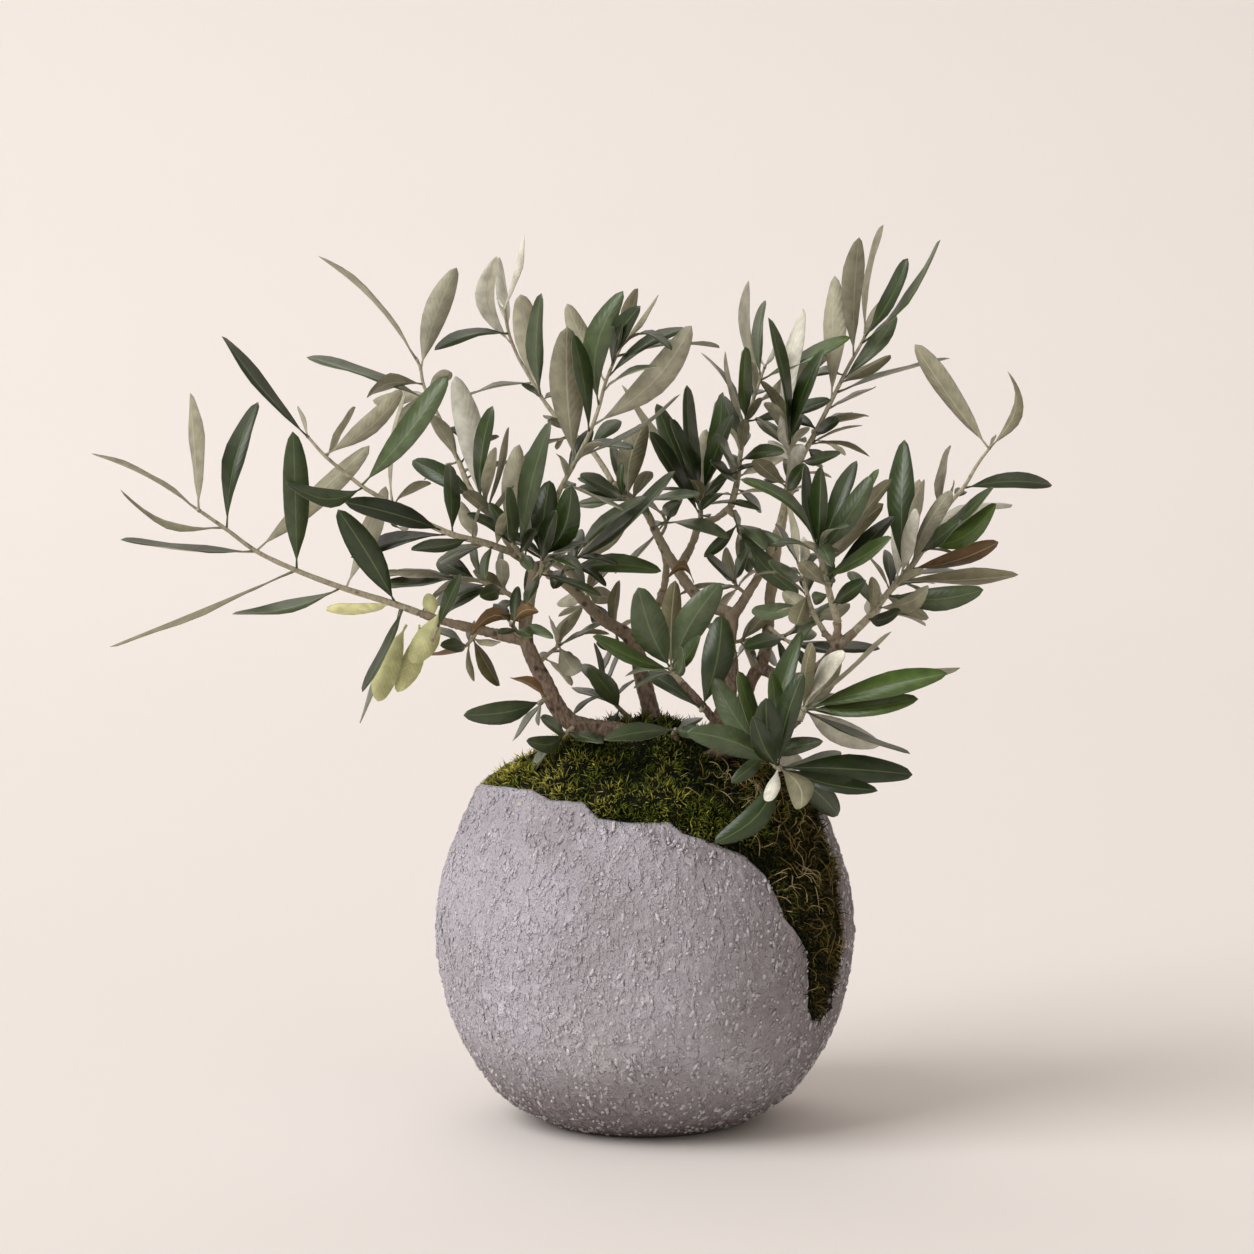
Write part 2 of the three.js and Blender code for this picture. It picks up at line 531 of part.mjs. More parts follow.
      [0.61, -16.5, 214, 8.5, G, -1], [0.91, -13, 224, 8, S, 0], [1, -38, 222, 5.8, S, 0],
      [1, -34, 243, 4.6, G, 0], [1, -12, 240, 3, G, 0],
    ],
  },
  trunk_mid: {
    girth: [1, 0.6],
    stem: [
      [-4, 206, -10], [-10, 205, -14], [-14, 206, -18],
    ],
    leaves: [
      [0.78, -21, 205, 5.8, G, 1], [1, -20, 192, 3, G, 1], [0.47, -16, 188, 2, G, 0],
    ],
  },
  stem_right: {
    girth: [1.1, 0.7],
    stem: [
      [53, 212, -25], [58, 208, -20], [63, 205, -14],
    ],
    leaves: [
      [0.69, 42.5, 203, 6.9, G, -1], [1, 73, 210, 5.8, G, 0], [0.88, 101, 202.5, 5.1, G, -1],
      [0.41, 44, 201.5, 3, G, 0], [0.88, 86, 200, 4.6, G, 0],
    ],
  },
  stem_knot: {
    girth: [0.9, 0.6],
    stem: [
      [44, 226, -22], [40, 229, -27], [37, 233, -30],
    ],
    leaves: [
      [0.67, 31, 228, 2, G, 0], [1, 45, 246, 4.6, G, 0], [0.8, 26, 243, 4.6, G, 0],
    ],
  },
  rear_fork: {
    girth: [1, 0.6],
    stem: [
      [36, 205, -17], [41, 206, -24], [46, 207, -30],
    ],
    leaves: [
      [0.71, 47, 197, 3, G, 0], [0.91, 40, 200, 2, G, 0], [1, 57, 196, 4.6, G, 0],
    ],
  },
};

// The point of the pot's space that the front view shows at x and height, `front` before the axis.
function fromFront([x, height, front]) {
  const { distance, elevation } = EYE;
  const up = height - EYE.sightZ;
  const [sin, cos] = [Math.sin(elevation), Math.cos(elevation)];
  const rise = (up * (distance - front * cos) + distance * front * sin) / (distance * cos + up * sin);
  const nearer = front * cos + rise * sin;
  const across = (x - EYE.sightX) * (1 - nearer / distance);
  return new THREE.Vector3(EYE.lookX + across, -front, EYE.lookZ + rise);
}

// A geometry with only its positions left and its shared vertices merged.
function bare(geometry) {
  geometry.deleteAttribute('normal');
  geometry.deleteAttribute('uv');
  return mergeVertices(geometry, 1e-4);
}

// A copy of a bare geometry with each vertex moved to where `place` puts it.
function moved(template, place) {
  const geometry = template.clone();
  const positions = geometry.attributes.position;
  const vertex = new THREE.Vector3();
  for (let i = 0; i < positions.count; i += 1) {
    const { x, y, z } = place(vertex.fromBufferAttribute(positions, i));
    positions.setXYZ(i, x, y, z);
  }
  return geometry;
}

function toSolid(geometry) {
  return new wasm.Manifold(new wasm.Mesh({
    numProp: 3,
    vertProperties: Float32Array.from(geometry.attributes.position.array),
    triVerts: Uint32Array.from(geometry.index.array),
  }));
}

function join(solids) {
  return solids.reduce((whole, solid) => whole.add(solid));
}

// The largest body of a solid with its near-touching corners merged, without a cut's scraps.
function mainBody(solid) {
  const bodies = toSolid(mergeVertices(toGeometry(solid), 1e-3)).decompose();
  return bodies.sort((a, b) => b.volume() - a.volume())[0];
}

function toGeometry(solid) {
  const { vertProperties, triVerts } = solid.getMesh();
  const geometry = new THREE.BufferGeometry();
  geometry.setAttribute('position', new THREE.BufferAttribute(vertProperties, 3));
  geometry.setIndex(new THREE.BufferAttribute(triVerts, 1));
  return geometry;
}

// A value read from a list of [place, value] pairs with straight lines between them.
function along(pairs, place) {
  const next = pairs.findIndex(([at]) => at >= place);
  if (next < 0) return pairs[pairs.length - 1][1];
  if (next === 0) return pairs[0][1];
  const [[a, from], [b, to]] = [pairs[next - 1], pairs[next]];
  return from + (to - from) * (place - a) / (b - a);
}

// A solid of revolution about +Z from a profile of [radius, height] that closes on itself.
function revolve(profile, facets) {
  const points = profile.map(([radius, height]) => new THREE.Vector2(radius, height));
  return bare(new THREE.LatheGeometry([...points, points[0]], facets).rotateX(Math.PI / 2));
}

// Pot.
const potSide = new THREE.SplineCurve(POT_SIDE.map(([radius, height]) => new THREE.Vector2(radius, height)));
const potOutline = potSide.getPoints(11);
const radiusAtHeight = potOutline.map((point) => [point.y, point.x]);

// The pot's side moved inwards along its own normal, from a lowest height upwards.
function insetSide(depth, lowest) {
  const inner = potOutline.map((point, i) => {
    const tangent = potSide.getTangent(i / (potOutline.length - 1));
    return [point.x - tangent.y * depth, point.y + tangent.x * depth];
  });
  const kept = inner.filter(([, height]) => height > lowest + 1);
  const floorRadius = along(inner.map(([radius, height]) => [height, radius]), lowest);
  return [[floorRadius, lowest], ...kept];
}

function lipHeight(azimuth) {
  const turned = ((azimuth + 157) % 360 + 360) % 360 - 157;
  const wrapped = [[LIP.at(-1)[0] - 360, LIP.at(-1)[1]], ...LIP, [LIP[0][0] + 360, LIP[0][1]]];
  return along(wrapped, turned);
}

// What the torn lip leaves away: a drum whose underside is a fan from the axis to the lip's height
// at the wall. `spare` lowers it on both sides of each point, to keep the moss clear of the lip.
function lipCutter(spare) {
  const { reach, top, hub } = LIP_FAN;
  const drum = bare(new THREE.CylinderGeometry(reach, reach, 1, LIP.length, 1));
  return toSolid(moved(drum, ({ x, y, z }) => {
    if (y > 0 && Math.hypot(x, z) < 1) return { x: 0, y: 0, z: top };
    if (Math.hypot(x, z) < 1) return { x: 0, y: 0, z: hub + spare };
    const turn = (Math.atan2(x, z) / (2 * Math.PI) + 1) % 1;
    const azimuth = LIP[Math.round(turn * LIP.length) % LIP.length][0];
    const lip = Math.max(...[-1, 0, 1].map((side) => lipHeight(azimuth + side * spare * 2))) + spare;
    const steepness = reach / along(radiusAtHeight, lip);
    const height = y > 0 ? top : hub + (lip - hub) * steepness;
    const angle = degrees(azimuth);
    return { x: reach * Math.sin(angle), y: -reach * Math.cos(angle), z: height };
  }));
}

function potShell(grow) {
  const outer = insetSide(-grow, -grow).map(([radius, height]) => [radius, Math.max(height, -grow)]);
  const inner = insetSide(POT_WALL + grow, POT_FLOOR + grow).reverse();
  const hollow = toSolid(revolve([[0, -grow], ...outer, ...inner, [0, POT_FLOOR + grow]], POT_FACETS));
  return hollow.subtract(lipCutter(grow));
}

function potSolid() {
  const { radius } = DRAIN;
  const drill = bare(new THREE.CylinderGeometry(radius, radius, 3 * POT_FLOOR, 12).rotateX(Math.PI / 2));
  const holes = Array.from({ length: DRAIN.holes }, (_, i) => {
    const angle = degrees(90 + i * 360 / DRAIN.holes);
    return toSolid(drill.clone().translate(DRAIN.ring * Math.cos(angle), DRAIN.ring * Math.sin(angle), 0));
  });
  return holes.reduce((pot, hole) => pot.subtract(hole), potShell(0));
}

// Moss and soil.
function mossLump(angle, height) {
  const { around, perHeight } = MOSS_LUMP;
  const [wave, counterwave] = around.map((turns, i) => turns * angle + perHeight[i] * height);
  return MOSS_LUMP.size * (Math.sin(wave) * Math.cos(counterwave) - 1);
}

// Everything under the mound's surface and inside the pot's side, down to the cleft's foot.
function mossCover(grow) {
  const brim = MOUND.at(-1)[1] - 2;
  const side = insetSide(TONGUE.inset - grow, TONGUE.low - grow).filter(([, height]) => height < brim);
  const mound = [...MOUND].reverse().map(([radius, height]) => [radius, height + grow]);
  const cover = revolve([[0, TONGUE.low - grow], ...side, ...mound], MOSS_FACETS);
  return toSolid(moved(cover, ({ x, y, z }) => {
    const radius = Math.hypot(x, y);
    const lumped = radius > 1 ? (radius + mossLump(Math.atan2(y, x), z)) / radius : 1;
    return { x: x * lumped, y: y * lumped, z };
  }));
}

// A wedge of the pot's space between two azimuths, up to the mound.
function wedge(from, to) {
  const top = MOUND.at(-1)[1];
  const outline = new THREE.Shape([0, 0.25, 0.5, 0.75, 1].map((share) => {
    const angle = degrees(from + (to - from) * share);
    return new THREE.Vector2(LIP_FAN.reach * Math.sin(angle), -LIP_FAN.reach * Math.cos(angle));
  }));
  outline.lineTo(0, 0);
  return toSolid(bare(new THREE.ExtrudeGeometry(outline, { depth: top, bevelEnabled: false })));
}

function soilCore(grow) {
  const side = insetSide(POT_WALL + TONGUE.thick + grow, POT_FLOOR + SEAT);
  return toSolid(revolve([[0, POT_FLOOR + SEAT], ...side, [0, side.at(-1)[1]]], POT_FACETS));
}

function mossSolid(grow) {
  const cover = mossCover(grow);
  const { reach, hub } = LIP_FAN;
  const above = bare(new THREE.CylinderGeometry(reach, reach, hub, 24).rotateX(Math.PI / 2));
  const mound = cover.intersect(toSolid(above.translate(0, 0, MOSS_UNDERSIDE - grow + hub / 2)));
  const tongue = cover.subtract(soilCore(grow)).intersect(wedge(TONGUE.from - grow, TONGUE.to + grow));
  return mound.add(tongue);
}

function soilSolid() {
  const wall = insetSide(POT_WALL + SEAT, POT_FLOOR + SEAT);
  const side = wall.filter(([, height]) => height < MOSS_UNDERSIDE + 3);
  const fill = toSolid(revolve([[0, POT_FLOOR + SEAT], ...side, [0, side.at(-1)[1]]], POT_FACETS));
  return fill.subtract(mossSolid(SEAT));
}

// Stems.
function curveOf(stem) {
  return new THREE.CatmullRomCurve3(stem.map(fromFront));
}

function stepsOf(stem, stepsPerPoint) {
  return Math.max(2, Math.round(stem.length * stepsPerPoint));
}

// A round stem along a curve, thinner from root to end, longer at its end by `grow`.
function stemSolid({ stem, girth }, sides, stepsPerPoint, grow = 0) {
  const curve = curveOf(stem);
  const steps = stepsOf(stem, stepsPerPoint);
  const frames = curve.computeFrenetFrames(steps, false);
  const rod = bare(new THREE.CylinderGeometry(1, 1, 1, sides, steps));
  return toSolid(moved(rod, ({ x, y, z }) => {
    const step = Math.round((0.5 - y) * steps);
    const centre = curve.getPointAt(step / steps);
    const radius = Math.hypot(x, z) * (THREE.MathUtils.lerp(...girth, step / steps) + grow);
    const angle = Math.atan2(z, x);
    if (step === steps) centre.addScaledVector(frames.tangents[step], grow);
    return centre
      .addScaledVector(frames.normals[step], radius * Math.cos(angle))
      .addScaledVector(frames.binormals[step], radius * Math.sin(angle));
  }));
}

function woodSolid(grow = 0) {
  return join(Object.values(LIMBS).map((limb) => stemSolid(limb, 6, 1, grow)));
}

// Leaves.
const towardsEye = new THREE.Vector3(0, -Math.cos(EYE.elevation), Math.sin(EYE.elevation));
const bladeForms = [[BLADE, 4], [SMALL_BLADE, 3]].map(([stations, rows]) => (
  { stations, rows, template: bare(new THREE.SphereGeometry(1, 4, rows)) }
));

// A leaf's blade from its root on the stem to its tip: its length and width, and the directions
// across it and out of its upper face, rolled so that the front view shows the stated width.
function bladeAt(root, tip, [, , , seenWidth, face, bow]) {
  const axis = tip.clone().sub(root);
  const length = axis.length();
  axis.normalize();
  const { least, share: perLength, most } = GROWN_WIDTH;
  const width = Math.max(seenWidth, Math.min(most, least + perLength * length));
  const roll = Math.acos(Math.min(1, seenWidth / width));
  const flat = towardsEye.clone().cross(axis).normalize().multiplyScalar(UPPER_FACES.has(face) ? 1 : -1);
  const out = axis.clone().cross(flat);
  const rolled = [roll, -roll].map((angle) => flat.clone().applyAxisAngle(axis, angle));
  const [across] = rolled.sort((a, b) => axis.clone().cross(b).z - axis.clone().cross(a).z);
  const up = axis.clone().cross(across);
  const bowing = towardsEye.clone().cross(axis).normalize().multiplyScalar(bow);
  const arch = out.multiplyScalar(LEAF_ARCH * length);
  const centre = (share) => root.clone()
    .addScaledVector(axis, length * share)
    .addScaledVector(bowing, Math.sin(Math.PI * share))
    .addScaledVector(arch, Math.sin(Math.PI * share));
  return { root, axis, length, width, across, up, centre };
}

// The blade's half width at a share of its length.
function halfWidth({ width }, share) {
  return along(BLADE, share) * width / 2;
}

function bladeSolid(blade) {
  const { stations, rows, template } = bladeForms[blade.length < SMALL_LEAF ? 1 : 0];
  return toSolid(moved(template, ({ x, y, z }) => {
    const row = Math.round(Math.acos(THREE.MathUtils.clamp(y, -1, 1)) * rows / Math.PI);
    const [share, breadth] = stations[row];
    const half = breadth * blade.width / 2;
    const point = blade.centre(share);
    if (row === 0 || row === rows) return point;
    if (Math.abs(x) > Math.abs(z)) {
      point.addScaledVector(blade.across, Math.sign(x) * half);
      return point.addScaledVector(blade.up, half * LEAF_FOLD);
    }
    return point.addScaledVector(blade.up, Math.sign(z) * LEAF_THICKNESS / 2);
  }));
}

// Points spread over a blade, to keep it clear of what grew before it.
function spots(blade) {
  const { first, places, across } = TRIED;
  const shares = Array.from({ length: places }, (_, i) => first + (1 - first) * i / (places - 1));
  return shares.flatMap((share) => across.map((side) => ({
    share,
    point: blade.centre(share).addScaledVector(blade.across, side * halfWidth(blade, share)),
  })));
}

function bladeHolds(blade, point) {
  const share = point.clone().sub(blade.root).dot(blade.axis) / blade.length;
  if (share < BLADE_ENDS.from || share > BLADE_ENDS.to) return false;
  const offset = point.clone().sub(blade.centre(share));
  return Math.abs(offset.dot(blade.up)) < LEAF_THICKNESS / 2 + AIR
    && Math.abs(offset.dot(blade.across)) < halfWidth(blade, share) + AIR;
}

function stemHolds({ ends, radius }, point) {
  const nearest = ends.closestPointToPoint(point, true, new THREE.Vector3());
  return nearest.distanceTo(point) < radius + AIR;
}

function potHolds({ x, y, z }) {
  const reach = Math.hypot(x, y) - 1.5 * AIR;
  const topOfMound = along(MOUND, reach) + 2 * AIR;
  const inPot = z < POT_SIDE.at(-1)[1] && reach < along(radiusAtHeight, z);
  return inPot || (reach < MOUND.at(-1)[0] && z < topOfMound);
}

// The straight pieces of a stem with their thickness, which leaves keep clear of.
function bars(owner, { stem, girth }) {
  const points = curveOf(stem).getSpacedPoints(stem.length * 2);
  return points.slice(1).map((point, i) => ({
    owner, ends: new THREE.Line3(points[i], point), radius: THREE.MathUtils.lerp(...girth, i / points.length),
  }));
}

const grown = [];
const stems = [
  ...Object.values(LIMBS).flatMap((limb) => bars('wood', limb)),
  ...Object.entries(SPRAYS).flatMap(([name, spray]) => bars(name, spray)),
];

function isClear(blade, owner) {
  const points = spots(blade);
  const reach = blade.length / 2 + blade.width;
  const middle = blade.centre(0.5);
  const near = grown.filter((other) => other.middle.distanceTo(middle) < reach + other.reach);
  const crosses = (from, to) => from.points.some(({ share, point }) => (
    (share > SHARED_ROOT || from.owner !== to.owner) && bladeHolds(to.blade, point)
  ));
  const leaf = { owner, blade, points, middle, reach };
  const blocked = points.some(({ share, point }) => potHolds(point) || stems.some((bar) => (
    share > (bar.owner === owner ? SHARED_ROOT : BARK_ROOT) && stemHolds(bar, point)
  )));
  if (blocked || near.some((other) => crosses(leaf, other) || crosses(other, leaf))) return false;
  grown.push(leaf);
  return true;
}

// The middle of a leafy stem's solid, which runs straight from step to step.
function middleAt(curve, steps, place) {
  const step = Math.min(Math.floor(place * steps), steps - 1);
  return curve.getPointAt(step / steps).lerp(curve.getPointAt((step + 1) / steps), place * steps - step);
}

// How far a leaf turns out of the front view's plane, as shares of its usual depth, best first.
const TURNS = [
  1, -1, 0.6, -0.6, 1.4, -1.4, 0.25, -0.25, 1.8, -1.8, 2.3, -2.3, 2.9, -2.9, 0.8, -0.8, 1.2, -1.2,
];

// The leaf of one row, turned towards or away from the eye until it is clear of the rest, or none
// where it finds no room. A leaf is a little longer than it looks, and a short-looking one is mostly
// one that points at the eye.
function growLeaf(name, curve, steps, row, index) {
  const [place, x, height] = row;
  const [lowest, highest] = [LEAF_FREE / curve.getLength(), 1 - LEAF_SUNK / curve.getLength()];
  const root = middleAt(curve, steps, THREE.MathUtils.clamp(place, lowest, highest));
  const front = -root.y;
  const seen = Math.hypot(...fromFront([x, height, front]).sub(root).toArray());
  const { share, extra, usual } = GROWN_LENGTH;
  const length = Math.max(share * seen, Math.min(seen + extra, usual));
  const depth = Math.max(LEAF_DEPTH, Math.sqrt(length ** 2 - seen ** 2)) * (index % 2 ? -1 : 1);
  for (const turn of TURNS) {
    const tip = fromFront([x, height, front + depth * turn]);
    const blade = bladeAt(root, tip, row);
    if ((blade.length < LEAF_LONGEST || turn === 1) && isClear(blade, name)) return bladeSolid(blade);
  }
  return null;
}

// The tree: each leafy stem is one solid, cut to sit on the bark that it grows from.
const bark = woodSolid();
const barkRoom = woodSolid(SEAT);

function spraySolid([name, spray]) {
  const curve = curveOf(spray.stem);
  const steps = stepsOf(spray.stem, SPRAY_STEPS);
  const leaves = spray.leaves.map((row, index) => growLeaf(name, curve, steps, row, index)).filter(Boolean);
  return mainBody(join([stemSolid(spray, 4, SPRAY_STEPS), ...leaves]).subtract(barkRoom));
}

function node(name, solid, colour, roughness) {
  const material = new THREE.MeshStandardMaterial({ color: colour, roughness, metalness: 0 });
  const geometry = toGeometry(solid);
  geometry.computeVertexNormals();
  const mesh = new THREE.Mesh(geometry, material);
  mesh.name = name;
  return mesh;
}

const bonsai = new THREE.Group();
const moss = mossSolid(0).subtract(potShell(SEAT)).subtract(barkRoom);
bonsai.add(
  node('pot', potSolid(), COLOURS.pot, 0.9),
  node('soil', mainBody(soilSolid().subtract(barkRoom)), COLOURS.soil, 1),
  node('moss', mainBody(moss), COLOURS.moss, 1),
  node('stems', bark, COLOURS.bark, 0.85),
);
for (const entry of Object.entries(SPRAYS)) {
  bonsai.add(node(`spray_${entry[0]}`, spraySolid(entry), COLOURS.leaf, 0.5));
}

export default bonsai;
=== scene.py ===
"""A potted olive bonsai: five woody stems rise from moss in a ball-shaped stoneware pot.

Lengths are in millimetres until a mesh is finished, +Z is up and the front looks towards -Y.
"""
import logging
import math
import random
from collections.abc import Callable, Iterable, Sequence
from dataclasses import dataclass
from enum import Enum

import bmesh
import bpy
import numpy as np
from bmesh.types import BMesh
from bpy.types import Material, Mesh, Node, NodeSocket, NodeTree
from mathutils import Matrix, Vector, noise
from numpy import ndarray


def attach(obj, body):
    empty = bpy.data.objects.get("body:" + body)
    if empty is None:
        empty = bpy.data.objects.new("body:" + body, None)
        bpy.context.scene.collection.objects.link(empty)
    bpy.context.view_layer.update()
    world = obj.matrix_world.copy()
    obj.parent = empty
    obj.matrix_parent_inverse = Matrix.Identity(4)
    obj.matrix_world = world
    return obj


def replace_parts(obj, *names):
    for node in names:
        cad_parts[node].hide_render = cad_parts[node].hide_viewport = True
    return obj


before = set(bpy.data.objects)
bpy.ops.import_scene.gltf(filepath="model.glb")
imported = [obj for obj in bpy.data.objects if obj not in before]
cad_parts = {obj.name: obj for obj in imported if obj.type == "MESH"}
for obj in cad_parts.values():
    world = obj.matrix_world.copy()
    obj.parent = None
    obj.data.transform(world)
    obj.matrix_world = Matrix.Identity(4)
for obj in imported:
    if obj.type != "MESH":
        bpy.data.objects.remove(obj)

log = logging.getLogger("olive_bonsai")

MM = 0.001
# Points closer than this are merged, and a length under the second counts as none, in millimetres.
WELD = 1e-4
TINY = 1e-6
# The flat blade is twice this thick, so a vertex within this of its top is on its upper face.
TOP_MARGIN = 0.05

Point = tuple[float, float, float]
Colour = tuple[float, float, float, float]


class Face(Enum):
    """The face of a leaf that the front view shows, with its colour.

    The last two are a painted sheen that a green face leans to, and a painted shade that a silver one
    leans to.
    """

    GREEN = "#26370f"
    LIGHT = "#465c22"
    SILVER = "#bbb7a0"
    # Partly the underside's own pale silver, partly painted light where it turns up to the light.
    PALE = "#dedbcb"
    YELLOW = "#dddc9f"
    BROWN = "#775c3a"
    BLOOM = "#687654"
    OLIVE = "#6a6440"

    @property
    def upper(self) -> bool:
        """Whether it is the leaf's upper face."""
        return self in (Face.GREEN, Face.LIGHT)

    @property
    def light(self) -> ndarray:
        """The colour in linear light."""
        return np.array(linear(self.value)[:3])


G, L, S, P, Y, B, *_ = Face

# The woody stems, root first: x, height and front of each point, and the radius from root to end.
ROOT = (12, 150, 8)
LIMBS = {
    "stump": ((9, 6), ((13, 118, 4), (12, 136, 7), ROOT)),
    "bough": ((5.4, 1.9), (
        ROOT, (8, 158, 14), (-6, 165, 18), (-20, 168, 22), (-31, 170.5, 26), (-38, 178, 26),
        (-43, 188, 25), (-48, 198, 23), (-51, 206, 21.5), (-51.5, 214, 20), (-49.5, 225, 17),
        (-48.5, 238, 15), (-57, 244, 17),
    )),
    "far_bough": ((2.6, 1.5), (
        (-51, 206, 21.5), (-60, 208, 23.5), (-72, 211, 25.5), (-85, 214, 27), (-97, 218, 29),
    )),
    "centre": ((4.4, 1.9), (
        ROOT, (6, 160, 2), (4, 170, 0), (1, 182, -3), (-2, 193, -6), (-4, 203, -9), (-8, 209, -11),
        (-18, 215, -14), (-25, 222, -16), (-32, 229, -17), (-38, 233, -18), (-42, 235, -17),
    )),
    "centre_fork": ((2.2, 1.3), (
        (-3, 199, -8), (2, 214, -20), (8, 228, -38), (9, 240, -45), (6, 250, -44),
    )),
    "slip": ((2.4, 1.5), (ROOT, (0, 160, 4), (-8, 174, 0))),
    "middle": ((4.2, 1.4), (
        ROOT, (24, 160, 0), (30, 168, -6), (35, 180, -10), (37, 192, -14), (36, 205, -17), (37, 217, -20),
        (28, 221, -24), (20, 228, -28), (13, 238, -33), (6, 250, -36), (0, 262, -38), (-14, 274, -36),
    )),
    "middle_fork": ((2.3, 1.5), ((37, 215, -19.5), (44, 226, -22), (50, 236, -24), (57, 254, -22))),
    "crown_twig": ((1.9, 1.4), (
        (14, 236, -32), (20, 247, -41), (24, 256, -46), (31, 259, -40), (37, 264, -34),
    )),
    "back": ((4, 1.7), (
        ROOT, (30, 160, -8), (40, 174, -20), (45, 188, -24), (51, 199, -27), (53, 212, -27),
        (54, 226, -29), (56, 240, -31), (60, 262, -30),
    )),
    "side": ((2.7, 2), (
        (49, 195, -26), (57, 191, -14), (66, 190, 4), (74, 194, 24), (80, 200, 36), (84, 205, 44),
    )),
    "side_twig": ((1.9, 1.6), ((82, 202, 40), (83, 214, 44))),
    "side_fork": ((1.9, 1.3), ((82.5, 203, 41), (77, 210, 41))),
    "side_reach": ((2, 1.8), ((83, 203.5, 42), (90, 210, 42))),
    "front": ((4, 2), (ROOT, (28, 156, 24), (40, 160, 34), (46, 161, 38))),
    "front_reach": ((2.6, 1.9), ((40, 160, 34), (52, 164, 45), (60, 168, 50), (66, 172, 54))),
    "shoot": ((2.2, 1.5), (
        (42, 160.5, 35.5), (38, 165, 29), (32, 169.5, 30), (25, 178, 34), (16, 188, 40),
    )),
    "left_peg": ((1.8, 1.6), ((-54, 242, 16), (-60, 250, 14.5))),
    "crown_peg": ((1.5, 1.3), ((35.5, 262.5, -35), (38.5, 260, -30))),
    "stub": ((2, 1.3), ((10, 156, 12), (14, 161, 20), (12, 166, 24))),
}

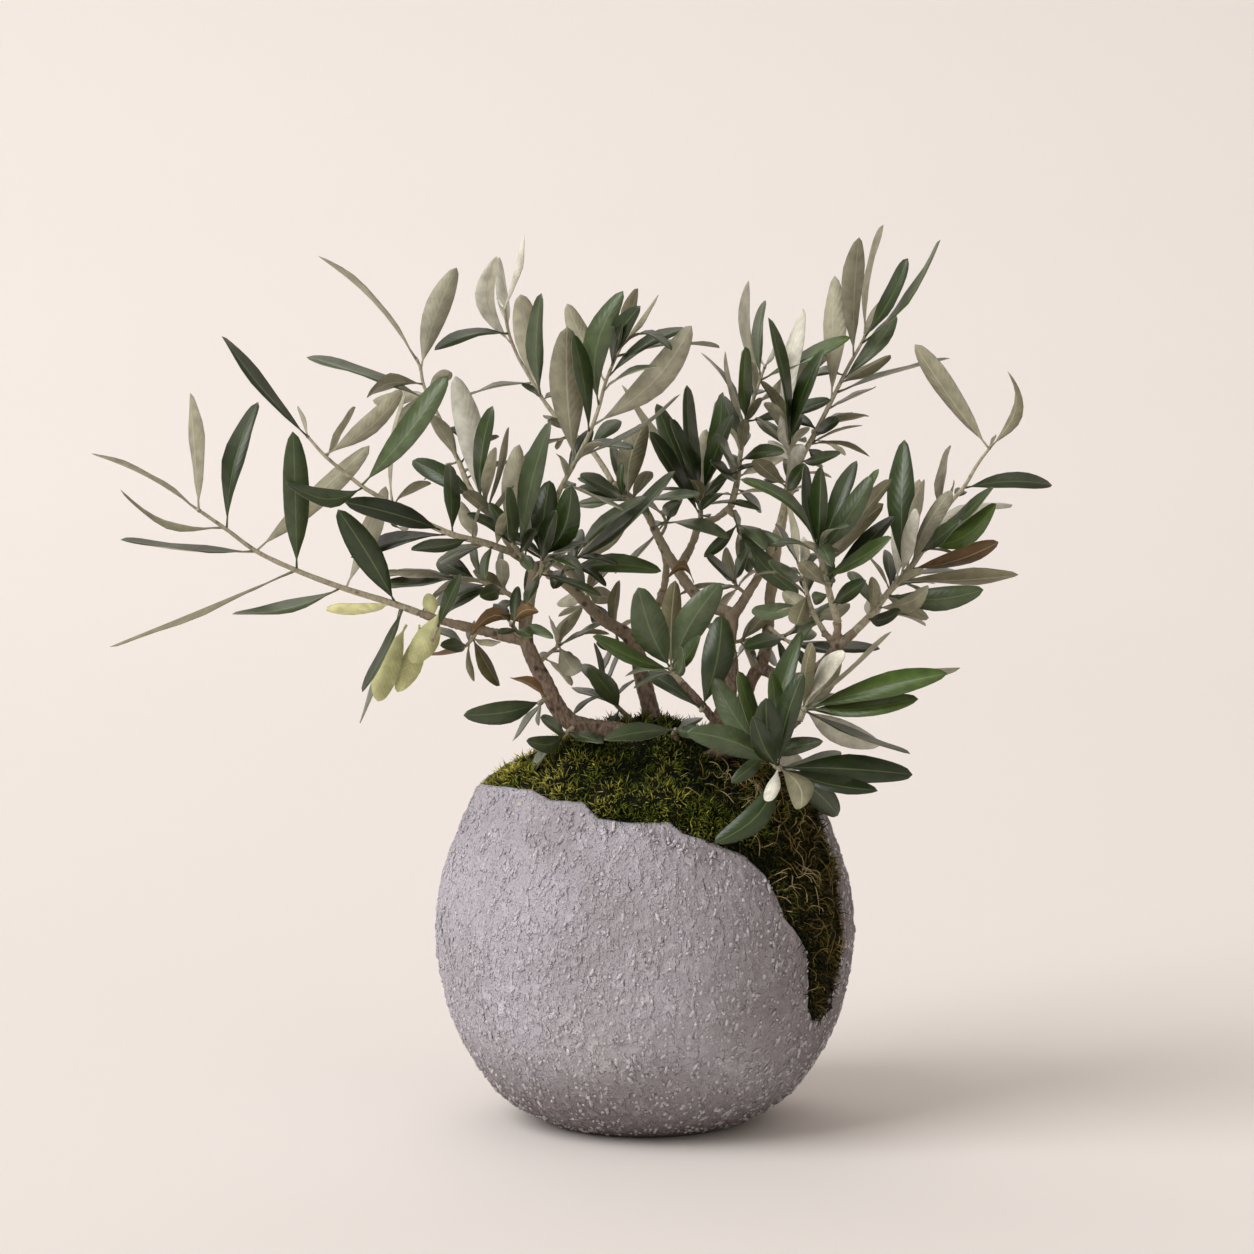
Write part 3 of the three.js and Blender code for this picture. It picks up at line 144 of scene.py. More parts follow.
# The leafy shoots: the radius of each from root to end, its points as above, and its leaves. A leaf's
# row holds its place along the stem from 0 to 1, its tip's x and height, the width and the face
# that show, and how far the blade bows to its left.
SHOOTS = {
    "far_left": ((1.5, 0.7), (
        (-97, 218, 29), (-108, 222, 32), (-129, 228.5, 38), (-149, 236, 44), (-167, 244.5, 50),
        (-180, 254, 56), (-193, 263, 62),
    ), (
        (1, -238, 286.5, 1.8, S, -2.5), (0.99, -195.5, 312.5, 7.1, S, 0), (0.86, -225.5, 271, 2.2, S, 6),
        (0.85, -166.4, 308.7, 9.4, G, 3), (0.7, -225.5, 249.5, 3.2, G, 2), (0.7, -118.5, 290, 10.3, S, 0),
        (0.52, -151.5, 296, 10.9, G, -0.5), (0.52, -230, 203.5, 1.8, S, 0),
        (0.33, -177.5, 217.5, 5.1, G, 3.5), (0.31, -111.5, 272.5, 8.6, S, 0),
        (0.1, -132, 262.5, 12.1, G, -1), (0.12, -137, 219, 5.2, Y, 1.5), (0.07, -121.5, 184, 4.8, G, 1.5),
        (0.08, -122.5, 170.5, 2, G, 1.5),
    )),
    "left_drape": ((1, 0.7), ((-88, 216, 28), (-90, 210, 33), (-92, 205, 37)), (
        (0.16, -79, 235, 5.8, G, 0),
    )),
    "left_high": ((1.6, 0.6), (
        (-57, 244, 17), (-70, 248.5, 24), (-82, 251.5, 31), (-100, 259.5, 34), (-109, 265, 38),
        (-121, 272, 42), (-128, 277.5, 42), (-138, 286, 45), (-146, 295, 45),
    ), (
        (0.99, -182, 337, 5.3, G, 1.5), (1, -149.5, 306.5, 1.8, S, 0), (0.89, -104.5, 314, 8, S, -3),
        (0.88, -124.5, 306.5, 2.6, S, 0), (0.7, -84.5, 320, 11.5, G, -2), (0.69, -154.5, 274, 8, G, 6),
        (0.55, -103.5, 313, 1.8, S, 4), (0.55, -92, 273.5, 2.6, S, 2),
        (0.32, -129, 265.5, 9.8, G, -1), (0.29, -126.5, 242, 6.4, G, -2),
        (0.45, -109.5, 258, 2, P, 4), (0.28, -84, 282, 6.9, G, 0), (0.21, -100.5, 245, 6.3, G, 1),
        (0.17, -79, 266, 5.8, S, 0), (0.12, -88, 240, 5.8, G, 0), (0.08, -58.5, 262, 5.8, S, 0),
    )),
    "left_under": ((1.3, 0.6), ((-50, 220, 18), (-60, 227, 14), (-72, 232, 10), (-84, 234, 6)), (
        (1, -112, 236, 3, S, 1), (0.97, -112, 234, 3.2, G, -1), (0.89, -112.5, 230.5, 5.1, G, 1),
        (0.67, -89, 241, 9.8, G, 0), (0.55, -90, 222, 5.8, G, -1), (0.45, -86, 218.5, 6.9, G, -2),
        (0.39, -71, 225, 7.5, G, 0), (0.25, -74, 236, 6.9, S, 0), (0.33, -61, 241, 6.3, S, 1),
        (0.16, -66, 218, 4.6, G, 0),
    )),
    "left_crown": ((1.5, 0.6), (
        (-60, 250, 14), (-63, 255, 12), (-70, 264, 6), (-76, 273, 0), (-80, 283, -8), (-84, 291, -14),
        (-88, 301, -20), (-93, 311, -26), (-95.5, 317, -30), (-96.5, 323, -32), (-98.5, 328, -34),
    ), (
        (1, -140.5, 371.5, 2, S, -4), (0.94, -81, 366.5, 10.7, S, 2), (0.87, -119.5, 311, 5.8, S, -4),
        (0.82, -117, 309.5, 6.9, S, 0), (0.83, -84, 322, 5.8, S, 0), (0.83, -107, 296.5, 8, S, 0),
        (0.78, -145.5, 328, 5.1, G, -1), (0.63, -78, 291, 3.4, G, 2), (0.45, -94.5, 275.5, 1.8, G, 0),
        (0.21, -81.5, 320, 12, P, -2), (0.2, -65.5, 307, 7.1, G, 2), (0.16, -58.5, 298, 2.6, S, -2),
        (0.17, -65, 289, 4.8, S, 0), (0.21, -100, 283.5, 9.2, G, -1), (0.12, -57, 272.5, 2.2, S, 0),
    )),
    "left_heart": ((1.5, 1), ((-49, 239, 15), (-53, 243, 20), (-57, 248, 25)), (
        (1, -54, 290.5, 10.4, S, 1), (0.89, -59.5, 272, 5.8, G, 0), (0.54, -40.5, 300.5, 9.3, G, 2),
        (0.3, -46, 262, 5.8, G, 0), (0.6, -47, 254, 4.6, G, 0),
    )),
    "top_left": ((1.3, 0.6), (
        (-14, 274, -36), (-18, 281, -39), (-26, 291.5, -44), (-33, 296, -47), (-38, 302, -50),
        (-44, 310, -54), (-51, 322, -58), (-55, 329, -62), (-59, 340, -65), (-60.5, 350, -68),
    ), (
        (0.81, -64, 371.5, 8.5, P, 8), (0.88, -62.5, 371, 5.2, P, 0), (0.98, -52, 380.5, 3.6, P, 0),
        (0.56, -53.5, 355, 12.5, S, 0), (0.54, -44.5, 355.5, 8, G, 2), (0.61, -77, 311, 2, G, -1.5),
        (0.54, -53, 316, 3.4, G, 0), (0.52, -36.5, 313, 3.4, G, 0), (0.87, -90.5, 331, 5.8, G, -3),
        (0.33, -43, 303, 3, G, 0), (0.24, -5, 288.5, 4.6, G, 0), (0.2, -11, 301, 6.9, G, 0),
        (1, -63, 354, 1.6, P, 0),
    )),
    "top_mid": ((1.5, 0.6), (
        (-42, 235, -17), (-43, 245, -5), (-41, 256, 5), (-37, 270, 13), (-30, 283, 16),
        (-24, 295, 17), (-20, 306, 16), (-17, 317, 14), (-13, 327, 13), (-9, 335, 12),
    ), (
        (0.53, -33.5, 341, 15, S, 1.5), (0.84, -33.5, 351, 9.5, S, 1), (0.75, -9.5, 356.5, 11, G, 6),
        (0.65, -31, 338, 6.9, G, -1), (0.94, -3, 357.5, 5.8, S, 0), (0.98, 5.5, 354.5, 2, S, 0),
        (0.68, 20, 341.5, 12.5, S, -5), (0.86, 18, 340.5, 5.8, G, 3), (0.9, -2, 350, 8, G, 3),
        (0.98, 11.5, 331, 2.2, G, 6), (0.81, 5, 324, 2.2, G, 2), (0.91, -9.5, 342, 3, G, 0),
        (0.94, 32, 332, 2, G, 3), (0.42, -31, 274, 4.6, G, 0), (0.45, -9, 262, 1, G, 0),
        (0.56, 15, 312, 2, G, -4),
    )),
    "dark_pair": ((1.3, 0.8), ((-48.5, 230, 16), (-45, 236, 22), (-44, 243, 27)), (
        (0.93, -31.5, 273, 12, G, -4), (0.72, -41, 275, 11, G, 1), (0.35, -29, 250.5, 1.8, G, -1),
        (0.79, -38, 262, 6.9, G, 1), (0.41, -51, 222, 4.6, G, 0),
    )),
    "mid_fan": ((1.1, 0.7), ((-38, 233, -18), (-34, 238, -10), (-30, 242, -2)), (
        (0.29, 7, 236, 8, L, 3), (1, -6.5, 262, 9.9, S, -2), (0.88, -28.5, 246, 2.4, G, 0),
        (0.51, -28, 254, 5.8, G, -1), (0.63, 13, 279, 6.9, G, -3), (0.88, 1, 268, 5.3, G, 3),
    )),
    "hub_left": ((1.1, 0.7), ((0, 262, -38), (-5, 266, -34), (-10, 268, -28)), (
        (0.79, -29, 271, 5.8, G, -1), (0.91, -29, 265, 5.1, G, 1), (0.57, 2, 279, 5.8, S, 0),
        (0.85, -14, 290, 5.8, G, 0), (0.21, 24, 268.5, 3.4, G, 1), (0.7, 0, 300, 12, S, 3),
        (1, -28, 277, 6.9, G, 0),
    )),
    "hub_twig": ((0.9, 0.6), ((6, 250, -44), (9, 256, -42), (7, 262, -40)), (
        (0.83, 15, 266, 6.9, G, 0), (0.59, 36, 250, 5.3, G, 2), (1, -4, 268, 3, G, 0),
        (0.66, -13, 235, 1.6, G, 2),
    )),
    "centre": ((1.3, 0.8), ((24, 255, -46), (24, 263, -42), (25, 271, -38)), (
        (1, 11, 301.5, 6, G, 0), (1, 26.5, 297, 7.6, S, 0), (1, 38, 303.5, 7.4, G, 1),
        (0.62, 18, 316, 7.6, G, 2), (0.75, 31, 309.5, 5.8, S, -3), (0.88, 33.5, 313, 6.9, G, -2),
        (0.44, 8, 291, 9.2, G, -1), (0.56, 5, 308, 9.2, G, 1), (0.31, 2, 296, 6.9, G, 0),
        (0.69, -10, 316, 4.6, S, 2),
    )),
    "top_centre": ((1.6, 0.6), (
        (37, 264, -34), (39.5, 274, -40), (41, 286, -46), (43, 298, -51), (46, 308, -55),
        (49, 317, -58), (52, 325, -60),
    ), (
        (0.89, 44.5, 361, 5.8, P, 3), (0.9, 51.5, 352.5, 5.5, G, 2), (0.59, 43, 332.5, 6.9, L, 1),
        (0.76, 43, 331, 5.8, G, 0), (0.56, 34.5, 330.5, 3.2, P, 1), (0.51, 24, 330, 2.2, G, -4),
        (0.4, 33, 312, 6.9, G, 0), (0.21, 69, 289.5, 6.9, S, 1), (0.89, 88.5, 336.5, 5.8, L, 0),
        (0.71, 81.5, 331, 6.9, S, -1), (0.6, 80, 309.5, 6.4, G, -1), (1, 47, 334, 1.8, P, 0),
        (1, 56, 333, 1.8, P, 0), (0.24, 30, 294, 4.6, G, 0), (0.18, 28, 283, 4.6, G, 0),
        (0.14, 50, 262, 4.6, G, 0), (0.07, 24, 262, 3, G, -3), (0.32, 60, 287, 5.8, G, 2),
    )),
    "centre_low": ((1, 0.7), ((38.5, 260, -30), (40, 256, -26), (41, 250, -19)), (
        (0.49, 66, 226, 9.2, G, -3), (0.19, 41, 240, 5.8, S, 2), (0.39, 52, 245, 5.8, G, 2),
        (0.8, 38, 262, 3, G, 0),
    )),
    "right_inner": ((1.4, 0.7), ((57, 254, -22), (60, 266, -27), (62, 282, -34), (62, 293, -40)), (
        (0.97, 53, 345, 5.8, G, -2), (0.9, 68, 349, 7.4, P, 4), (0.92, 77, 331.5, 6.4, G, 2),
        (0.76, 53, 292, 5.8, P, 0), (0.82, 58, 302, 4.6, P, 0), (0.92, 66, 304, 5.8, G, 0),
        (0.56, 69, 289, 5.8, P, 2), (0.51, 52, 276, 4.6, G, 0), (0.41, 69, 282, 5.8, G, 0),
        (0.87, 48, 302, 5.8, G, 0), (0.46, 47, 284, 6.9, S, 0),
    )),
    "top_right": ((1.6, 0.6), (
        (60, 262, -30), (64, 274, -35), (68, 286, -42), (73, 295, -47), (78, 305, -52),
        (83, 315, -56), (88, 325, -60), (92, 332, -62), (95, 338, -62),
    ), (
        (0.87, 92, 379.5, 9.8, S, 1), (0.63, 81.5, 363, 9.2, S, 0), (1, 102.5, 385, 3.4, S, 2),
        (0.99, 103, 353.5, 6.2, S, 0), (0.98, 113, 370.5, 6.9, G, -2), (0.74, 108, 346, 7.6, G, -2),
        (0.95, 127, 378.5, 3, L, -5), (0.72, 105.5, 329, 5.3, S, 0), (0.67, 131, 327.5, 1.9, G, 1),
        (0.58, 99, 315, 1.8, G, 0), (0.44, 84, 301.5, 5.8, G, 0), (0.4, 75, 297, 4.6, G, 0),
        (0.51, 88.5, 304, 1.5, G, 0), (0.35, 76, 283, 6.9, G, 0), (0.27, 84, 286.5, 5.3, G, -1),
        (0.77, 70, 319, 4.6, G, -2), (0.46, 62, 303, 5.8, G, 0),
    )),
    "right_bunch": ((1.7, 0.9), ((83, 214, 44), (80, 224, 47), (77, 236, 53), (74, 247, 59)), (
        (1, 41, 275.5, 5.3, L, -6), (1, 69.5, 276.5, 3.6, L, 0), (1, 76, 281, 6.9, G, 0),
        (0.96, 100.5, 280, 3, L, -2), (0.87, 98, 277, 9.2, G, -1), (0.71, 106, 275.5, 8, S, 1),
        (0.69, 102.5, 265, 9.2, S, 2), (1, 69, 282, 5.8, G, 2), (0.81, 81, 268.5, 4.6, S, 0),
        (0.84, 91, 283.5, 6.9, G, 1), (0.59, 106, 250.5, 6.4, L, -1), (0.5, 107.5, 260, 6.2, G, 0),
        (0.44, 67, 240, 6.9, S, 0), (0.35, 72, 224, 5.8, G, 0), (0.23, 95, 232, 6.9, G, 0),
    )),
    "right_stem": ((1.3, 0.7), ((77, 210, 41), (72, 219, 38), (69, 229, 36), (66, 240, 34)), (
        (1, 56, 256, 3, G, 0), (1, 61, 265, 3, S, 0), (0.75, 53, 240, 5.8, G, 1),
        (0.55, 65, 213, 9.2, S, 0), (0.39, 46, 219.5, 6.9, G, 2), (0.25, 59, 227, 8, S, 0),
        (0.9, 69, 250, 4.6, P, 0), (0.09, 65, 206, 4.6, G, 0), (0.13, 88, 222, 5.8, S, 0),
    )),
    "right_low": ((1.8, 0.6), (
        (90, 210, 42), (97, 217, 40), (104, 226, 37), (111, 234, 34), (116, 240, 32), (124, 253, 29),
        (131, 265, 26), (137, 272, 24), (143, 282, 22), (149, 290, 20),
    ), (
        (0.32, 111.5, 292.5, 11, G, 1), (0.28, 118, 275.5, 10.3, P, 2), (0.31, 117, 262.5, 5.8, P, 1),
        (0.34, 120, 275.5, 4.8, S, 0), (0.37, 132, 270.5, 6.9, S, 2), (0.33, 135, 236, 2.4, G, 0),
        (0.3, 160.5, 234.5, 6.4, S, -1), (0.21, 145.5, 228, 10.3, G, -3), (0.14, 122, 229, 7.5, S, -3),
        (0.08, 101.5, 227, 7.5, P, 0), (0.36, 152, 248.5, 7.6, B, -2), (0.24, 104, 245, 5.8, G, 0),
        (0.13, 88, 236, 5.8, G, 0), (0.08, 110, 219, 5.8, G, -2), (0.2, 122, 216, 6.9, S, 1),
        (0.99, 116, 333.5, 8.3, S, 0.5), (1, 156, 322, 4.6, S, -7.5), (0.78, 175, 273, 7.6, G, 2),
        (0.61, 131, 290, 4.6, S, 1), (0.52, 158, 264.5, 5.8, P, 6), (0.48, 151, 265, 9.2, L, -5),
        (0.44, 141, 260, 8, G, -1), (0.45, 136, 258, 5.8, G, 0), (0.72, 136.5, 271, 4.6, G, 0),
        (0.55, 150, 272, 4.6, G, -2), (1, 151, 294, 1.4, S, 0), (0.69, 133, 274, 1.6, S, 0),
    )),
    "right_spread": ((1.9, 1.4), ((66, 172, 54), (69, 178, 55)), (
        (0.87, 130, 192, 9.7, L, 1), (1, 135.5, 194.5, 5.1, S, 3), (0.73, 117.5, 181, 8.5, L, -2),
        (0.4, 101, 161, 10.8, P, -2), (0.33, 114, 157.5, 2.8, G, -2), (1, 86, 201, 5.8, P, 3),
        (1, 84, 199, 8.5, S, -1), (1, 106, 210, 1.8, S, -1), (0.67, 72, 205, 5.8, S, 1),
    )),
    "right_skirt": ((1.7, 1.3), ((46, 161, 38), (51, 158, 48), (55, 154, 56), (58, 151, 63)), (
        (0.86, 18, 167, 12, G, -3), (0.91, 46.5, 173.5, 9.2, G, 1.5), (0.98, 52, 181.5, 12.6, G, 2),
        (0.95, 68, 192.5, 9.7, G, 2), (0.72, 67.5, 210, 8, G, 3), (0.64, 29.5, 190, 11, G, 2),
        (0.56, 40, 193, 6.9, L, 1), (0.64, 54, 192.5, 6.9, L, -2), (1, 67, 134, 11, S, 4),
        (1, 67.5, 155.5, 9.2, P, 0), (0.98, 30, 119, 10.8, G, 6), (1, 115, 148.5, 11.7, G, 1),
        (1, 100, 141.5, 6.9, G, -2), (1, 84, 158.5, 4.8, G, -2), (1, 83, 131, 10.8, G, 2),
        (0.95, 53, 137, 5.8, P, 0),
    )),
    "front_shoot": ((1.5, 1.1), ((16, 188, 40), (13, 191.5, 41.5), (10.5, 195, 43)), (
        (1, -3, 229, 15, G, 2), (1, 13, 232, 9.2, S, 1), (0.92, 32.5, 231, 13.5, G, 2.5),
        (0.72, 21.5, 210.5, 6.2, S, 1), (0.88, -22.5, 208, 6.9, L, 2), (0.72, 24, 208, 5.8, G, -1),
        (0.32, 16, 203, 4.6, G, -2),
    )),
    "front_lower": ((1.3, 0.9), ((25, 178, 34), (24, 176, 40)), (
        (1, 33, 217, 13.5, G, -2), (1, 0.5, 192.5, 7.6, G, -1), (0.5, 40, 201, 2, S, 2),
    )),
    "base_left": ((1.1, 0.8), ((-39, 182, 25), (-43, 181, 31), (-46, 179, 35)), (
        (0.71, -78, 174, 9.9, G, 2), (0.57, -56.5, 163.5, 2.4, G, 0), (0.44, -57.5, 190, 4.6, B, -2),
        (0.87, -45.5, 170, 2, G, 0),
    )),
    "base_fork": ((1.2, 0.9), ((-30, 170, 27), (-33, 167, 32), (-36, 165, 36)), (
        (0.83, -51, 163, 7.6, G, 3), (0.86, -50.5, 146.5, 3.4, G, -1), (0.72, -45, 173, 5.1, G, 0),
        (0.55, -18, 162, 4.6, G, 0),
    )),
    "base_mid": ((1.2, 0.7), ((-8, 174, 0), (-12, 178, 6), (-17, 183, 10)), (
        (0.38, -24.5, 195, 9.2, G, -1), (0.9, -27.5, 196, 6.4, G, -1), (1, -22, 205, 2, G, 0),
        (0.6, -31, 186, 3, G, 0),
    )),
    "base_front": ((1, 0.8), ((12, 166, 24), (13, 167.5, 28), (13, 168, 32)), (
        (1, -17.5, 163.5, 7.4, G, -1), (1, 26, 166, 5.8, G, 0), (0.36, 24, 173, 3, G, 0),
    )),
    "mid_left": ((1.1, 0.6), ((-46, 196, 23), (-42, 200, 18), (-36, 205, 13)), (
        (1, -29, 192, 9.7, S, -1), (0.8, -27.5, 220.5, 5.8, S, 2), (1, -19, 213, 2, G, 0),
        (1, -41, 216, 2.4, S, 0), (0.62, -49, 196, 3, G, 0), (0.9, -33, 215, 2.4, S, 0),
    )),
    "fork_leaves": ((1.2, 0.8), ((-53, 207, 22), (-56, 211, 27), (-58, 214, 31)), (
        (1, -64, 222, 4.6, G, 0), (0.57, -63, 209, 3.4, G, 0), (0.83, -46, 219, 5.8, B, 3),
    )),
    "under_bough": ((1, 0.6), ((-72, 210.5, 25.5), (-75, 206, 22), (-78, 203, 20)), (
        (0.72, -94.5, 200, 2.6, B, 2), (0.86, -88, 204, 5.8, G, 0), (0.39, -63, 205, 3, S, 0),
        (0.72, -74, 214, 3, G, 0), (1, -90, 212, 3.4, G, 0),
    )),
    "trunk_left": ((1.1, 0.7), ((-22, 219, -15), (-24, 223, -22), (-25, 228, -28)), (
        (0.61, -16.5, 214, 8.5, G, -1), (0.91, -13, 224, 8, S, 0), (1, -38, 222, 5.8, S, 0),
        (1, -34, 243, 4.6, G, 0), (1, -12, 240, 3, G, 0),
    )),
    "trunk_mid": ((1, 0.6), ((-4, 206, -10), (-10, 205, -14), (-14, 206, -18)), (
        (0.78, -21, 205, 5.8, G, 1), (1, -20, 192, 3, G, 1), (0.47, -16, 188, 2, G, 0),
    )),
    "stem_right": ((1.1, 0.7), ((53, 212, -25), (58, 208, -20), (63, 205, -14)), (
        (0.69, 42.5, 203, 6.9, G, -1), (1, 73, 210, 5.8, G, 0), (0.88, 101, 202.5, 5.1, G, -1),
        (0.41, 44, 201.5, 3, G, 0), (0.88, 86, 200, 4.6, G, 0),
    )),
    "stem_knot": ((0.9, 0.6), ((44, 226, -22), (40, 229, -27), (37, 233, -30)), (
        (0.67, 31, 228, 2, G, 0), (1, 45, 246, 4.6, G, 0), (0.8, 26, 243, 4.6, G, 0),
    )),
    "rear_fork": ((1, 0.6), ((36, 205, -17), (41, 206, -24), (46, 207, -30)), (
        (0.71, 47, 197, 3, G, 0), (0.91, 40, 200, 2, G, 0), (1, 57, 196, 4.6, G, 0),
    )),
}

# Small leaves that sprout where the crown is dense: how many a shoot has, and how far along it.
SPROUTS = {
    "left_high": (3, 0.35), "left_under": (4, 1), "left_crown": (6, 0.6), "left_heart": (4, 1),
    "top_left": (4, 0.5), "top_mid": (8, 0.7), "dark_pair": (5, 1), "mid_fan": (4, 1), "hub_left": (4, 1),
    "hub_twig": (3, 1), "centre": (6, 1), "top_centre": (9, 0.8), "centre_low": (4, 1), "right_inner": (8, 1),
    "top_right": (7, 0.6), "right_bunch": (7, 1), "right_stem": (7, 1), "right_low": (8, 0.6),
    "right_spread": (2, 1), "right_skirt": (2, 0.5), "front_shoot": (2, 1), "base_mid": (3, 1),
    "mid_left": (3, 1), "fork_leaves": (3, 1), "under_bough": (2, 1), "trunk_left": (4, 1),
    "trunk_mid": (3, 1), "stem_right": (4, 1), "stem_knot": (4, 1), "rear_fork": (4, 1),
}

# Yellowed and withered leaves on the older wood: root, tip, the width and the face that show, and the bow.
OLD_LEAVES = (
    ((-88, 219.5, 30), (-100.5, 196.5, 38), 11, Y, 1),
    ((-91, 216, 28), (-93.5, 226.5, 25), 6.5, Y, 0),
    ((-102.5, 213, 31), (-115, 180, 40), 11.5, Y, -1.5),
    ((-97, 213, 30), (-106.5, 184, 35), 9.5, Y, 2),
    ((-51.5, 213, 22), (-75, 208.5, 31), 6, B, -6.5),
    ((21, 231, -26), (9.5, 233, -27), 4, B, -6.5),
)


def linear(hex_colour: str) -> Colour:
    """Turns an sRGB hex colour to linear light.

    Args:
        hex_colour: the colour as #rrggbb.

    Returns:
        Red, green and blue in linear light, with an alpha of 1.
    """
    shares = [int(hex_colour[i:i + 2], 16) / 255 for i in (1, 3, 5)]
    red, green, blue = (c / 12.92 if c <= 0.04045 else ((c + 0.055) / 1.055) ** 2.4 for c in shares)
    return red, green, blue, 1.0


def step(low: float, high: float, value: float | ndarray) -> float | ndarray:
    """A smooth step from 0 at low to 1 at high, for a number or for an array of numbers."""
    share = np.clip((value - low) / (high - low), 0, 1)
    return share * share * (3 - 2 * share)


def eased(start: ndarray, end: ndarray, leaving: ndarray, arriving: ndarray, share: float) -> ndarray:
    """Finds a point between two others on a smooth curve.

    Args:
        start: the first point.
        end: the second point.
        leaving: the curve's pace and direction at the first.
        arriving: its pace and direction at the second.
        share: how far between them the point is, from 0 to 1.

    Returns:
        The point.
    """
    square = -3 * start + 3 * end - 2 * leaving - arriving
    cube = 2 * start - 2 * end + leaving + arriving
    return start + share * (leaving + share * (square + share * cube))


def unit(rows: ndarray) -> ndarray:
    """Scales each row of an array to a length of 1."""
    return rows / np.maximum(np.linalg.norm(rows, axis=1), TINY)[:, None]


def add_node(tree: NodeTree, kind: str, settings: dict, links: dict | None = None) -> Node:
    """Adds a shader node with its settings and links.

    Args:
        tree: the material's node tree.
        kind: the node's type name, without the ShaderNode that all of them start with.
        settings: the value of each input, by name or number, and of each property of the node.
        links: the socket that feeds each input, by the input's name or number.

    Returns:
        The new node.
    """
    node = tree.nodes.new("ShaderNode" + kind)
    for name, value in settings.items():
        if isinstance(name, str) and hasattr(node, name):
            setattr(node, name, value)
    for name, value in settings.items():
        if isinstance(name, int) or not hasattr(node, name):
            node.inputs[name].default_value = value
    for name, socket in (links or {}).items():
        tree.links.new(socket, node.inputs[name])
    return node


def blank_material(name: str, roughness: float, **sockets: float) -> tuple[Material, NodeTree, Node]:
    """Makes a material with one shader.

    Args:
        name: the finish's name.
        roughness: the shader's roughness.
        sockets: other values of the shader, with _ for a space in the socket's name.

    Returns:
        The material, its node tree and its shader node.
    """
    material = bpy.data.materials.new(name)
    material.use_nodes = True
    shader = material.node_tree.nodes["Principled BSDF"]
    shader.inputs["Roughness"].default_value = roughness
    for socket, value in sockets.items():
        shader.inputs[socket.replace("_", " ")].default_value = value
    return material, material.node_tree, shader


